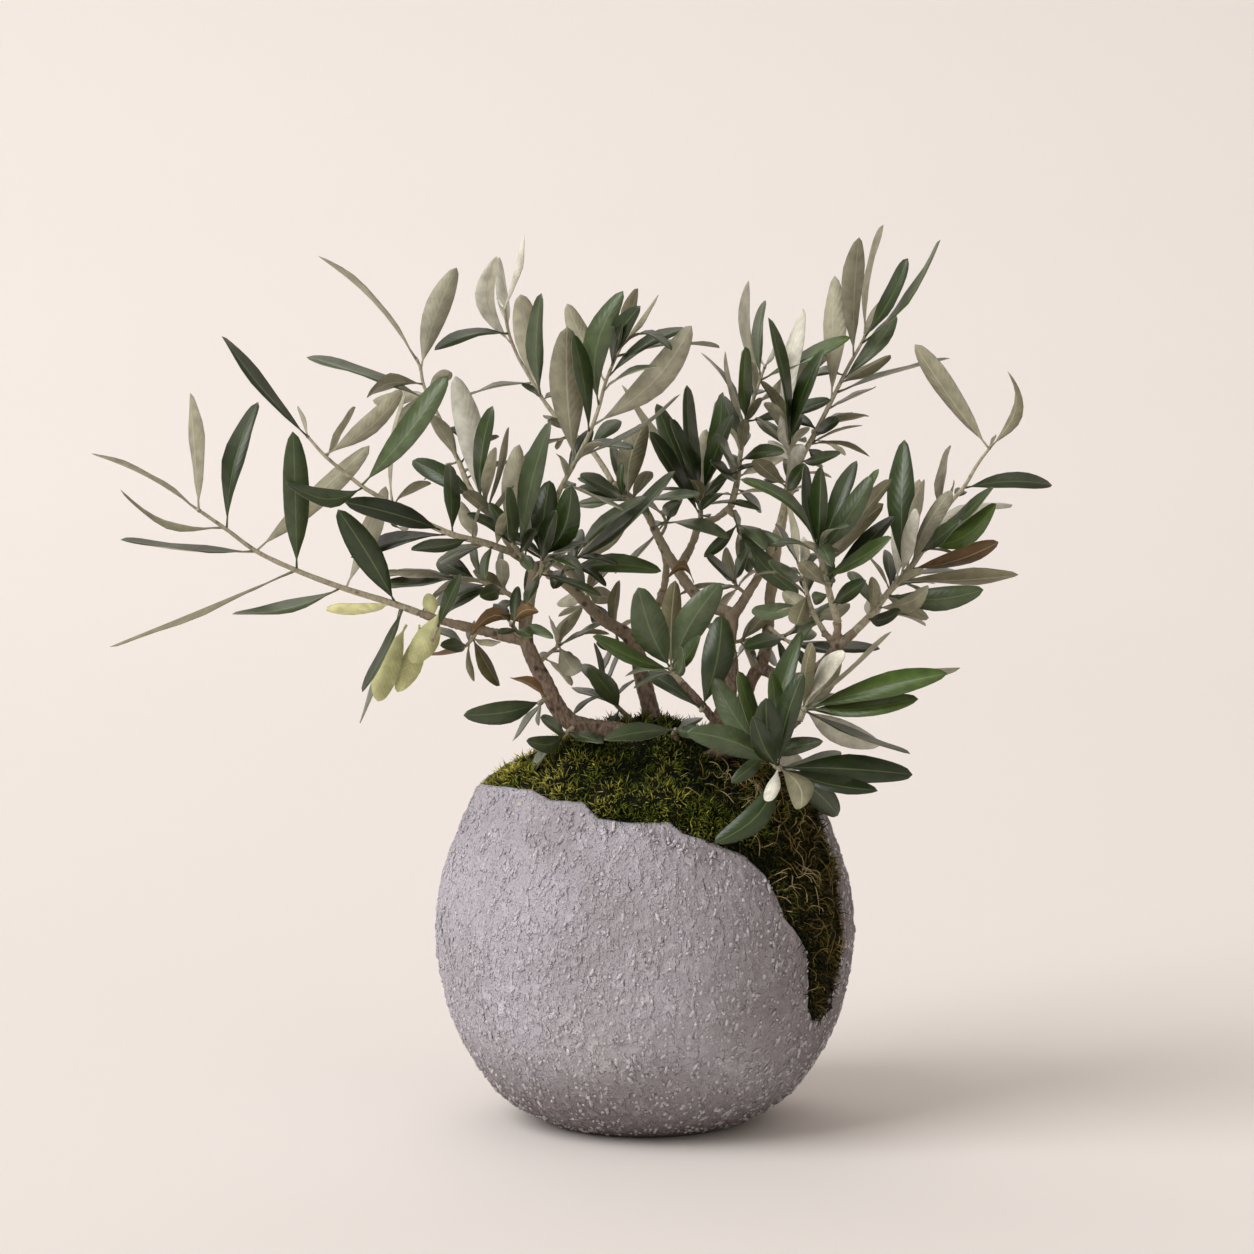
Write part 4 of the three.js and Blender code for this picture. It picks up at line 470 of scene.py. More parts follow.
@dataclass(frozen=True)
class Stoneware:
    """Unglazed lilac-grey stoneware under a gritty slip that was daubed and brushed on.

    The eye sees a matt skin in soft patches, with upright streaks, low daubs and pale grains. Raised
    places are painted paler and the hollows between daubs darker, a painted shade of the relief. A
    painted shade also browns and darkens its foot and its right side, which face away from the light.
    The widths and depths of its patterns are in millimetres. The grit of the slip is finer than it is
    drawn here, and would not show.
    """

    body: str = "#cbc6d0"
    shade: str = "#b7b0b7"
    grain: str = "#e8e4e8"
    # Painted shade: the brown-grey that the foot and the right side are darkened towards.
    foot: str = "#756a65"
    patch: float = 42
    streak: float = 2.6
    streak_depth: float = 1.4
    upright: float = 0.16
    daub: float = 4.2
    daub_depth: float = 1.1
    # Painted shade of the relief: how much darker the colour is off a daub, and lighter on one.
    daub_shade_range: tuple[float, float] = (0.9, 1.08)
    grit: float = 1.3
    grit_depth: float = 1.5
    # Painted shade at the foot and on the right side: where it fades in and how strong it is.
    shaded_foot_rise: tuple[float, float] = (2, 54)
    shaded_foot_share: float = 0.85
    shaded_side_reach: tuple[float, float] = (8, 84)
    shaded_side_share: float = 0.75

    def material(self) -> Material:
        """Builds the finish.

        Returns:
            The material.
        """
        material, tree, shader = blank_material("brushed_stoneware", 0.86, Specular_IOR_Level=0.35)
        where = add_node(tree, "TexCoord", {}).outputs["Object"]
        drawn = add_node(tree, "Mapping", {"Scale": (1, 1, self.upright)}, {"Vector": where})
        streaks = add_node(
            tree, "TexNoise", {"Scale": 1 / (self.streak * MM), "Detail": 5, "Roughness": 0.6},
            {0: drawn.outputs[0]},
        ).outputs["Fac"]
        sand = add_node(
            tree, "TexNoise", {"Scale": 1 / (self.grit * MM), "Detail": 3}, {0: where},
        ).outputs["Fac"]
        daubs = self.daubs(tree, where)
        slip_with_painted_relief = add_node(
            tree, "Mix", {"data_type": "RGBA", 7: linear(self.grain)},
            {0: self.pale_slip_and_painted_relief(tree, streaks, sand), 6: self.clay(tree, where)},
        )
        # Painted shade between the daubs and painted light on them.
        dark, light = self.daub_shade_range
        relief_shading = add_node(tree, "MapRange", {"To Min": dark, "To Max": light}, {"Value": daubs})
        colour = add_node(
            tree, "VectorMath", {"operation": "SCALE"}, {0: slip_with_painted_relief.outputs[2], "Scale": relief_shading.outputs[0]},
        )
        tree.links.new(colour.outputs[0], shader.inputs["Base Color"])
        tree.links.new(self.bumps(tree, sand, streaks, daubs), shader.inputs["Normal"])
        return material

    def daubs(self, tree: NodeTree, where: NodeSocket) -> NodeSocket:
        """Draws the daubs of slip, a little taller than wide and leaning with the brush.

        Args:
            tree: the material's node tree.
            where: the place on the pot.

        Returns:
            How far each place stands on a daub, from 0 to 1.
        """
        tilted = add_node(
            tree, "Mapping", {"Scale": (1, 1, 0.55), "Rotation": (0.25, 0.3, 0)}, {"Vector": where},
        )
        blobs = add_node(
            tree, "TexNoise", {"Scale": 1 / (self.daub * MM), "Detail": 3, "Roughness": 0.55},
            {0: tilted.outputs[0]},
        )
        return add_node(
            tree, "MapRange", {"interpolation_type": "SMOOTHSTEP", "From Min": 0.44, "From Max": 0.68},
            {"Value": blobs.outputs["Fac"]},
        ).outputs[0]

    def clay(self, tree: NodeTree, where: NodeSocket) -> NodeSocket:
        """Colours the clay in soft patches, with painted shade that browns its foot and its right side.

        Args:
            tree: the material's node tree.
            where: the place on the pot.

        Returns:
            The colour.
        """
        patches = add_node(tree, "TexNoise", {"Scale": 1 / (self.patch * MM), "Detail": 4}, {0: where})
        blotch = add_node(
            tree, "MapRange", {"From Min": 0.38, "From Max": 0.66}, {"Value": patches.outputs["Fac"]},
        )
        bare = add_node(
            tree, "Mix", {"data_type": "RGBA", 6: linear(self.shade), 7: linear(self.body)},
            {0: blotch.outputs[0]},
        )
        sides = add_node(tree, "SeparateXYZ", {}, {0: where})
        # Painted shade: browner and darker low on the pot and on its right side, away from the light.
        low = add_node(
            tree, "MapRange",
            {"interpolation_type": "SMOOTHSTEP", "From Min": self.shaded_foot_rise[0] * MM, "From Max": self.shaded_foot_rise[1] * MM,
             "To Min": self.shaded_foot_share, "To Max": 0},
            {"Value": sides.outputs["Z"]},
        )
        shaded_side = add_node(
            tree, "MapRange",
            {"interpolation_type": "SMOOTHSTEP", "From Min": self.shaded_side_reach[0] * MM,
             "From Max": self.shaded_side_reach[1] * MM, "To Max": self.shaded_side_share},
            {"Value": sides.outputs["X"]},
        )
        painted_shade = add_node(tree, "Math", {"operation": "MAXIMUM"}, {0: low.outputs[0], 1: shaded_side.outputs[0]})
        return add_node(
            tree, "Mix", {"data_type": "RGBA", 7: linear(self.foot)},
            {0: painted_shade.outputs[0], 6: bare.outputs[2]},
        ).outputs[2]

    def pale_slip_and_painted_relief(self, tree: NodeTree, streaks: NodeSocket, sand: NodeSocket) -> NodeSocket:
        """Finds where the surface is pale: on its relief attribute, its streaks and its grit.

        Raised slip and streaks are painted paler, a painted highlight, and their grooves painted darker.

        Args:
            tree: the material's node tree.
            streaks: the brush's streaks.
            sand: the grit.

        Returns:
            The share of the grain's colour.
        """
        relief = add_node(tree, "Attribute", {"attribute_name": "relief"})
        # Painted light and shade: the streaks are painted paler where high and darker in their grooves.
        brushed = add_node(
            tree, "MapRange", {"From Min": 0.35, "From Max": 0.72, "To Min": -0.14, "To Max": 0.16},
            {"Value": streaks},
        )
        speckle = add_node(
            tree, "MapRange", {"From Min": 0.45, "From Max": 0.75, "To Min": -0.04, "To Max": 0.14},
            {"Value": sand},
        )
        raised = add_node(
            tree, "Math", {"operation": "ADD"}, {0: relief.outputs["Fac"], 1: brushed.outputs[0]},
        )
        return add_node(
            tree, "Math", {"operation": "ADD"}, {0: raised.outputs[0], 1: speckle.outputs[0]},
        ).outputs[0]

    def bumps(self, tree: NodeTree, *heights: NodeSocket) -> NodeSocket:
        """Raises the grit, the streaks and the daubs, each on the one before.

        Args:
            tree: the material's node tree.
            heights: the patterns of the three, in that order.

        Returns:
            The normal.
        """
        normal = {}
        depths = ((1.0, self.grit_depth), (0.8, self.streak_depth), (1.0, self.daub_depth))
        for height, (strength, depth) in zip(heights, depths):
            bump = add_node(
                tree, "Bump", {"Strength": strength, "Distance": depth * MM}, {"Height": height, **normal},
            )
            normal = {"Normal": bump.outputs[0]}
        return normal["Normal"]


@dataclass(frozen=True)
class Grown:
    """A soft grown surface, such as living moss or dry fibre: matt, and flecked with its own shadows.

    It carries its own colours in its mesh. The width of its flecks is in millimetres.
    """

    name: str
    roughness: float
    fleck: float
    tones: tuple[float, float] = (0.6, 1.35)

    def material(self) -> Material:
        """Builds the finish from the mesh's colour attribute, darker and lighter in small flecks.

        Returns:
            The material.
        """
        material, tree, shader = blank_material(self.name, self.roughness, Specular_IOR_Level=0.12)
        where = add_node(tree, "TexCoord", {}).outputs["Object"]
        own = add_node(tree, "Attribute", {"attribute_name": "colour"})
        flecks = add_node(tree, "TexNoise", {"Scale": 1 / (self.fleck * MM), "Detail": 3}, {0: where})
        dark, bright = self.tones
        light = add_node(
            tree, "MapRange", {"From Min": 0.3, "From Max": 0.7, "To Min": dark, "To Max": bright},
            {"Value": flecks.outputs["Fac"]},
        )
        colour = add_node(
            tree, "VectorMath", {"operation": "SCALE"},
            {0: own.outputs["Color"], "Scale": light.outputs[0]},
        )
        tree.links.new(colour.outputs[0], shader.inputs["Base Color"])
        return material


@dataclass(frozen=True)
class Bark:
    """Olive bark: dull and grey-brown, with lengthwise cracks and dark knots where leaves fell.

    It turns smooth and pale where the wood is young, from a height upwards. Lengths are in millimetres.
    """

    ridge: str
    crack: str
    knot: str
    crack_width: float
    name: str
    young: str = "#b3a78f"
    young_from: float = 1000
    young_run: float = 65
    young_share: float = 0.85
    upright: float = 0.35
    knot_spacing: float = 4.2
    depth: float = 0.6

    def material(self) -> Material:
        """Builds the finish, with its cracks drawn out along the stems, which mostly stand upright.

        Returns:
            The material.
        """
        material, tree, shader = blank_material(self.name, 0.82, Specular_IOR_Level=0.3)
        where = add_node(tree, "TexCoord", {}).outputs["Object"]
        drawn = add_node(tree, "Mapping", {"Scale": (1, 1, self.upright)}, {"Vector": where})
        cracks = add_node(
            tree, "TexNoise", {"Scale": 1 / (self.crack_width * MM), "Detail": 5, "Roughness": 0.65},
            {0: drawn.outputs[0]},
        )
        knots = add_node(
            tree, "TexVoronoi", {"Scale": 1 / (self.knot_spacing * self.crack_width * MM)},
            {"Vector": where},
        )
        raised = add_node(
            tree, "MapRange", {"From Min": 0.36, "From Max": 0.6}, {"Value": cracks.outputs["Fac"]},
        )
        spot = add_node(
            tree, "MapRange", {"From Min": 0.12, "From Max": 0.3, "To Min": 0.75, "To Max": 0},
            {"Value": knots.outputs["Distance"]},
        )
        sides = add_node(tree, "SeparateXYZ", {}, {0: where})
        youth = add_node(
            tree, "MapRange",
            {"interpolation_type": "SMOOTHSTEP", "From Min": self.young_from * MM,
             "From Max": (self.young_from + self.young_run) * MM, "To Max": self.young_share},
            {"Value": sides.outputs["Z"]},
        )
        old = add_node(
            tree, "Mix", {"data_type": "RGBA", 6: linear(self.crack), 7: linear(self.ridge)},
            {0: raised.outputs[0]},
        )
        wood = add_node(
            tree, "Mix", {"data_type": "RGBA", 7: linear(self.young)},
            {0: youth.outputs[0], 6: old.outputs[2]},
        )
        colour = add_node(
            tree, "Mix", {"data_type": "RGBA", 7: linear(self.knot)},
            {0: spot.outputs[0], 6: wood.outputs[2]},
        )
        bump = add_node(
            tree, "Bump", {"Strength": 0.7, "Distance": self.depth * MM}, {"Height": cracks.outputs["Fac"]},
        )
        tree.links.new(colour.outputs[2], shader.inputs["Base Color"])
        tree.links.new(bump.outputs[0], shader.inputs["Normal"])
        return material


@dataclass(frozen=True)
class LeafSkin:
    """The skin of an olive leaf: waxy and glossy above, matt with fine silver scales below.

    Its colour comes from the mesh, mottled a little, with a pale midrib and faint side veins that lean
    towards the tip. Lengths are in millimetres, and the rib's half width is a share of the blade's width.
    """

    name: str
    roughness: float
    coat: float
    rib: str
    rib_share: float
    vein_strength: float
    rib_width: tuple[float, float] = (0.01, 0.04)
    veins: int = 14
    vein_lean: float = 0.35
    vein_depth: float = 0.12
    mottle: float = 5
    tones: tuple[float, float] = (0.78, 1.2)

    def material(self) -> Material:
        """Builds the finish on the blade's own UV map, whose middle is the midrib.

        Returns:
            The material.
        """
        material, tree, shader = blank_material(
            self.name, self.roughness, Coat_Weight=self.coat, Coat_Roughness=0.3,
        )
        own = add_node(tree, "Attribute", {"attribute_name": "colour"})
        flat = add_node(tree, "UVMap", {"uv_map": "blade"})
        blade = add_node(tree, "SeparateXYZ", {}, {0: flat.outputs[0]})
        side = add_node(tree, "Math", {"operation": "SUBTRACT", 1: 0.5}, {0: blade.outputs["X"]})
        off_rib = add_node(tree, "Math", {"operation": "ABSOLUTE"}, {0: side.outputs[0]})
        near, far = self.rib_width
        rib = add_node(
            tree, "MapRange", {"From Min": near, "From Max": far, "To Min": self.rib_share, "To Max": 0},
            {"Value": off_rib.outputs[0]},
        )
        where = add_node(tree, "TexCoord", {}).outputs["Object"]
        mottle = add_node(tree, "TexNoise", {"Scale": 1 / (self.mottle * MM), "Detail": 3}, {0: where})
        dark, bright = self.tones
        light = add_node(
            tree, "MapRange", {"From Min": 0.3, "From Max": 0.7, "To Min": dark, "To Max": bright},
            {"Value": mottle.outputs["Fac"]},
        )
        skin = add_node(
            tree, "VectorMath", {"operation": "SCALE"},
            {0: own.outputs["Color"], "Scale": light.outputs[0]},
        )
        colour = add_node(
            tree, "Mix", {"data_type": "RGBA", 7: linear(self.rib)},
            {0: rib.outputs[0], 6: skin.outputs[0]},
        )
        lean = add_node(tree, "Math", {"operation": "MULTIPLY", 1: self.vein_lean}, {0: off_rib.outputs[0]})
        run = add_node(tree, "Math", {"operation": "SUBTRACT"}, {0: blade.outputs["Y"], 1: lean.outputs[0]})
        wave = add_node(
            tree, "Math", {"operation": "MULTIPLY", 1: math.tau * self.veins}, {0: run.outputs[0]},
        )
        ripple = add_node(tree, "Math", {"operation": "SINE"}, {0: wave.outputs[0]})
        bump = add_node(
            tree, "Bump", {"Strength": self.vein_strength, "Distance": self.vein_depth * MM},
            {"Height": ripple.outputs[0]},
        )
        tree.links.new(colour.outputs[2], shader.inputs["Base Color"])
        tree.links.new(bump.outputs[0], shader.inputs["Normal"])
        return material


@dataclass(frozen=True)
class Plain:
    """Seamless background paper: an even matt finish without a texture of its own."""

    name: str
    colour: str
    roughness: float = 0.95

    def material(self) -> Material:
        """Builds the finish.

        Returns:
            The material.
        """
        material, _, shader = blank_material(self.name, self.roughness, Specular_IOR_Level=0.1)
        shader.inputs["Base Color"].default_value = linear(self.colour)
        return material


@dataclass(frozen=True)
class Eye:
    """The eye that the front view is seen from."""

    distance: float = 1800
    elevation: float = math.radians(6)
    look: Point = (-7.74, 0, 214)
    sight: tuple[float, float] = (-7.74, 212)
    view_width: float = 539.2

    @property
    def towards(self) -> Vector:
        """The direction from the tree to the eye."""
        return Vector((0, -math.cos(self.elevation), math.sin(self.elevation)))

    def place(self, x: float, height: float, front: float) -> Vector:
        """Finds the point that the front view shows at x and height.

        Args:
            x: how far right it is seen, in the plane of the pot's axis.
            height: how high it is seen there.
            front: how far it stands before the pot's axis.

        Returns:
            The point.
        """
        sin, cos, far = math.sin(self.elevation), math.cos(self.elevation), self.distance
        up = height - self.sight[1]
        rise = (up * (far - front * cos) + far * front * sin) / (far * cos + up * sin)
        nearer = front * cos + rise * sin
        across = (x - self.sight[0]) * (1 - nearer / far)
        return Vector((self.look[0] + across, -front, self.look[2] + rise))

    def seen(self, points: ndarray) -> ndarray:
        """Finds where the front view shows points: the reverse of place.

        Args:
            points: an array of points, one a row.

        Returns:
            The x and height of each, one a row.
        """
        sin, cos, far = math.sin(self.elevation), math.cos(self.elevation), self.distance
        front, rise = -points[:, 1], points[:, 2] - self.look[2]
        nearer = front * cos + rise * sin
        x = self.sight[0] + (points[:, 0] - self.look[0]) * far / (far - nearer)
        height = self.sight[1] + far * (rise * cos - front * sin) / (far - nearer)
        return np.column_stack([x, height])


EYE = Eye()


class Course:
    """A smooth course through points, a centripetal Catmull-Rom curve measured along its length."""

    SAMPLES = 200
    CLOSEST = 1e-4

    def __init__(self, places: Sequence[ndarray]) -> None:
        """Measures the course.

        Args:
            places: the points that it runs through.
        """
        self.points = [2 * places[0] - places[1], *places, 2 * places[-1] - places[-2]]
        samples = np.array([self._by_turn(i / self.SAMPLES) for i in range(self.SAMPLES + 1)])
        gaps = np.linalg.norm(np.diff(samples, axis=0), axis=1)
        self.run = np.concatenate([[0], np.cumsum(gaps)])

    @classmethod
    def seen(cls, points: Sequence[Point]) -> "Course":
        """A course through points that are given as x, height and front in the front view."""
        return cls([np.array(EYE.place(*point)) for point in points])

    @property
    def length(self) -> float:
        """The course's length."""
        return float(self.run[-1])

    def _by_turn(self, turn: float) -> ndarray:
        """Finds a point by its turn among the points that the course runs through.

        Args:
            turn: the share of those points that it stands after, from 0 to 1.

        Returns:
            The point.
        """
        spans = len(self.points) - 3
        first = min(int(turn * spans), spans - 1)
        share = turn * spans - first
        a, b, c, d = self.points[first:first + 4]
        ab, bc, cd = (max(np.linalg.norm(q - p), self.CLOSEST) ** 0.5 for p, q in ((a, b), (b, c), (c, d)))
        leaving = ((b - a) / ab - (c - a) / (ab + bc) + (c - b) / bc) * bc
        arriving = ((c - b) / bc - (d - b) / (bc + cd) + (d - c) / cd) * bc
        return eased(b, c, leaving, arriving, share)

    def at(self, share: float) -> ndarray:
        """The point at a share of the length, from 0 to 1."""
        turns = np.linspace(0, 1, self.SAMPLES + 1)
        return self._by_turn(float(np.interp(share * self.run[-1], self.run, turns)))

    def rings(self, steps: int) -> tuple[ndarray, ndarray, ndarray]:
        """Finds the centre and two cross directions of evenly spaced rings, without twist.

        Args:
            steps: the number of steps between rings.

        Returns:
            The centres, and two unit directions across the course at each.
        """
        centres = np.array([self.at(i / steps) for i in range(steps + 1)])
        tangents = np.gradient(centres, axis=0)
        tangents /= np.linalg.norm(tangents, axis=1)[:, None]
        start = np.array((0, 0, 1)) if abs(tangents[0][2]) < 0.9 else np.array((1, 0, 0))
        across = [np.cross(tangents[0], start)]
        for tangent in tangents[1:]:
            across.append(across[-1] - tangent * across[-1].dot(tangent))
        first = np.array([side / np.linalg.norm(side) for side in across])
        return centres, first, np.cross(tangents, first)


def add_round_stem(
    bm: BMesh, course: Course, girth: tuple[float, float], sides: int, pitch: float,
    swell: Callable[[Vector], float] = lambda point: 1,
) -> None:
    """Adds a round tapered stem along a course.

    Args:
        bm: the mesh that it goes into.
        course: the stem's middle line.
        girth: its radius at the root and at the end.
        sides: how many sides it has.
        pitch: the length of a step.
        swell: what its radius is multiplied by at a point.
    """
    steps = max(2, round(course.length / pitch))
    centres, first, second = course.rings(steps)
    before = set(bm.verts)
    circle = bmesh.ops.create_circle(bm, segments=sides, radius=1)["verts"]
    edges = list({edge for vert in circle for edge in vert.link_edges})
    bmesh.ops.spin(
        bm, geom=circle + edges, cent=(0, 0, 0), axis=(0, 0, 1), dvec=(0, 0, 1), angle=0, steps=steps,
    )
    rod = [vert for vert in bm.verts if vert not in before]
    ends = {edge for vert in rod for edge in vert.link_edges if edge.is_boundary}
    bmesh.ops.holes_fill(bm, edges=list(ends), sides=0)
    bmesh.ops.recalc_face_normals(bm, faces=list({face for vert in rod for face in vert.link_faces}))
    for vert in rod:
        ring = round(vert.co.z)
        angle = math.atan2(vert.co.y, vert.co.x)
        centre = Vector(centres[ring])
        radius = (girth[0] + (girth[1] - girth[0]) * ring / steps) * swell(centre)
        side = Vector(first[ring]) * math.cos(angle) + Vector(second[ring]) * math.sin(angle)
        vert.co = centre + side * radius


def finished(name: str, mesh: Mesh, finishes: Iterable[Material]) -> bpy.types.Object:
    """Turns a mesh in millimetres to a piece in metres that stands in the part's frame.

    Args:
        name: the piece's name.
        mesh: its mesh.
        finishes: the materials, in the order of the mesh's material numbers.

    Returns:
        The piece, riding on the part's one body.
    """
    mesh.transform(Matrix.Scale(MM, 4))
    for finish in finishes:
        mesh.materials.append(finish)
    mesh.shade_smooth()
    piece = bpy.data.objects.new(name, mesh)
    bpy.context.scene.collection.objects.link(piece)
    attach(piece, "root")
    log.info("%s: %d faces", name, len(mesh.polygons))
    return piece


def mesh_from(bm: BMesh, name: str) -> Mesh:
    """Turns a bmesh to a mesh and frees it.

    Args:
        bm: the bmesh.
        name: the new mesh's name.

    Returns:
        The mesh.
    """
    mesh = bpy.data.meshes.new(name)
    bm.to_mesh(mesh)
    bm.free()
    return mesh


def repeated(name: str, template: Mesh, places: ndarray, colours: ndarray) -> Mesh:
    """Makes one mesh of many copies of a template.

    Args:
        name: the new mesh's name.
        template: the mesh that is repeated, with a UV map named blade if it needs one.
        places: the vertices of every copy, as copies by vertices by 3.
        colours: the vertices' colours, as copies by vertices by 3.

    Returns:
        The mesh, with a colour attribute.
    """
    copies, count = places.shape[:2]
    corners = np.zeros(len(template.loops), np.int32)
    template.loops.foreach_get("vertex_index", corners)
    starts = np.array([polygon.loop_start for polygon in template.polygons], np.int32)
    materials = np.array([polygon.material_index for polygon in template.polygons], np.int32)
    mesh = bpy.data.meshes.new(name)
    mesh.vertices.add(copies * count)
    mesh.loops.add(copies * len(corners))
    mesh.polygons.add(copies * len(starts))
    order = np.arange(copies)[:, None]
    mesh.vertices.foreach_set("co", places.astype(np.float32).ravel())
    mesh.loops.foreach_set("vertex_index", (corners + order * count).ravel().astype(np.int32))
    mesh.polygons.foreach_set("loop_start", (starts + order * len(corners)).ravel().astype(np.int32))
    mesh.polygons.foreach_set("material_index", np.tile(materials, copies))
    if template.uv_layers:
        flat = np.zeros(2 * len(corners), np.float32)
        template.uv_layers[0].data.foreach_get("uv", flat)
        mesh.uv_layers.new(name=template.uv_layers[0].name).data.foreach_set("uv", np.tile(flat, copies))
    mesh.update(calc_edges=True)
    mesh.validate()
    paint(mesh, colours.reshape(-1, 3))
    return mesh


def paint(mesh: Mesh, colours: ndarray) -> None:
    """Gives a mesh's vertices their colours, one row each in linear light."""
    shades = np.column_stack([colours, np.ones(len(colours))]).astype(np.float32)
    mesh.attributes.new("colour", "FLOAT_COLOR", "POINT").data.foreach_set("color", shades.ravel())


@dataclass
class PotForm:
    """The shape of the pot: its side, its wall and its torn lip.

    A point of the side is its radius and height, from the foot up. A point of the lip is its azimuth,
    in degrees from the front towards the right, and its height.
    """

    side: tuple = (
        (42, 0), (62, 11.6), (75.2, 28.8), (84.9, 50), (90, 80), (87.2, 106), (78.5, 130), (66, 157),
    )
    torn: tuple = (
        (-140, 147), (-120, 151), (-95, 146), (-78, 148), (-61, 150), (-45, 151), (-34, 147.5),
        (-22, 147.9), (-16, 142), (-6, 140.5), (7.5, 141), (12.5, 135.7), (21.5, 132), (30.5, 126),
        (36.5, 118.6), (39, 110.6), (40.5, 99.6), (44.5, 93), (48.5, 85.6), (50, 72), (51, 60),
        (56.5, 51.2), (60, 55), (63, 62), (66, 80), (67.5, 100), (69, 117), (73, 131), (80, 137),
        (95, 144), (112, 149), (135, 146), (160, 152), (185, 148), (203, 151),
    )
    thickness: float = 7
    lip_thickness: float = 2.4
    lip_taper: float = 26
    floor: float = 9
    samples: int = 24

    def __post_init__(self) -> None:
        """Measures the side's radius at each height, on a curve through its points."""
        points = [np.array(point, float) for point in self.side]
        padded = [points[0], *points, points[-1]]
        shares = np.linspace(0, 1, self.samples, endpoint=False)
        outline = [
            eased(b, c, (c - a) / 2, (d - b) / 2, share)
            for a, b, c, d in zip(padded, padded[1:], padded[2:], padded[3:]) for share in shares
        ]
        self.outline = np.array([*outline, points[-1]])
        (first, first_height), (last, last_height) = self.torn[0], self.torn[-1]
        self.tear = np.array([(last - 360, last_height), *self.torn, (first + 360, first_height)])

    def radius(self, height: float | ndarray) -> float | ndarray:
        """The outside's radius at a height."""
        return np.interp(height, self.outline[:, 1], self.outline[:, 0])

    def lip(self, azimuth: float | ndarray) -> float | ndarray:
        """The lip's height at an azimuth in degrees."""
        start = self.tear[0, 0]
        return np.interp((azimuth - start) % 360 + start, self.tear[:, 0], self.tear[:, 1])

    def wall(self, azimuth: float | ndarray, height: float | ndarray) -> float | ndarray:
        """The wall's thickness, which thins to the lip."""
        share = np.clip((self.lip(azimuth) - height) / self.lip_taper, 0, 1)
        return self.lip_thickness + (self.thickness - self.lip_thickness) * share

    def slope(self, height: float | ndarray) -> float | ndarray:
        """How much the outside's radius grows for each millimetre of height."""
        return (self.radius(height + 1) - self.radius(height - 1)) / 2


def turned(azimuth: float | ndarray, radius: float | ndarray, height: float | ndarray) -> ndarray:
    """The points at azimuths in degrees from the front towards the right, radii and heights."""
    angle = np.radians(azimuth)
    return np.stack([radius * np.sin(angle), -radius * np.cos(angle), height + 0 * angle], axis=-1)


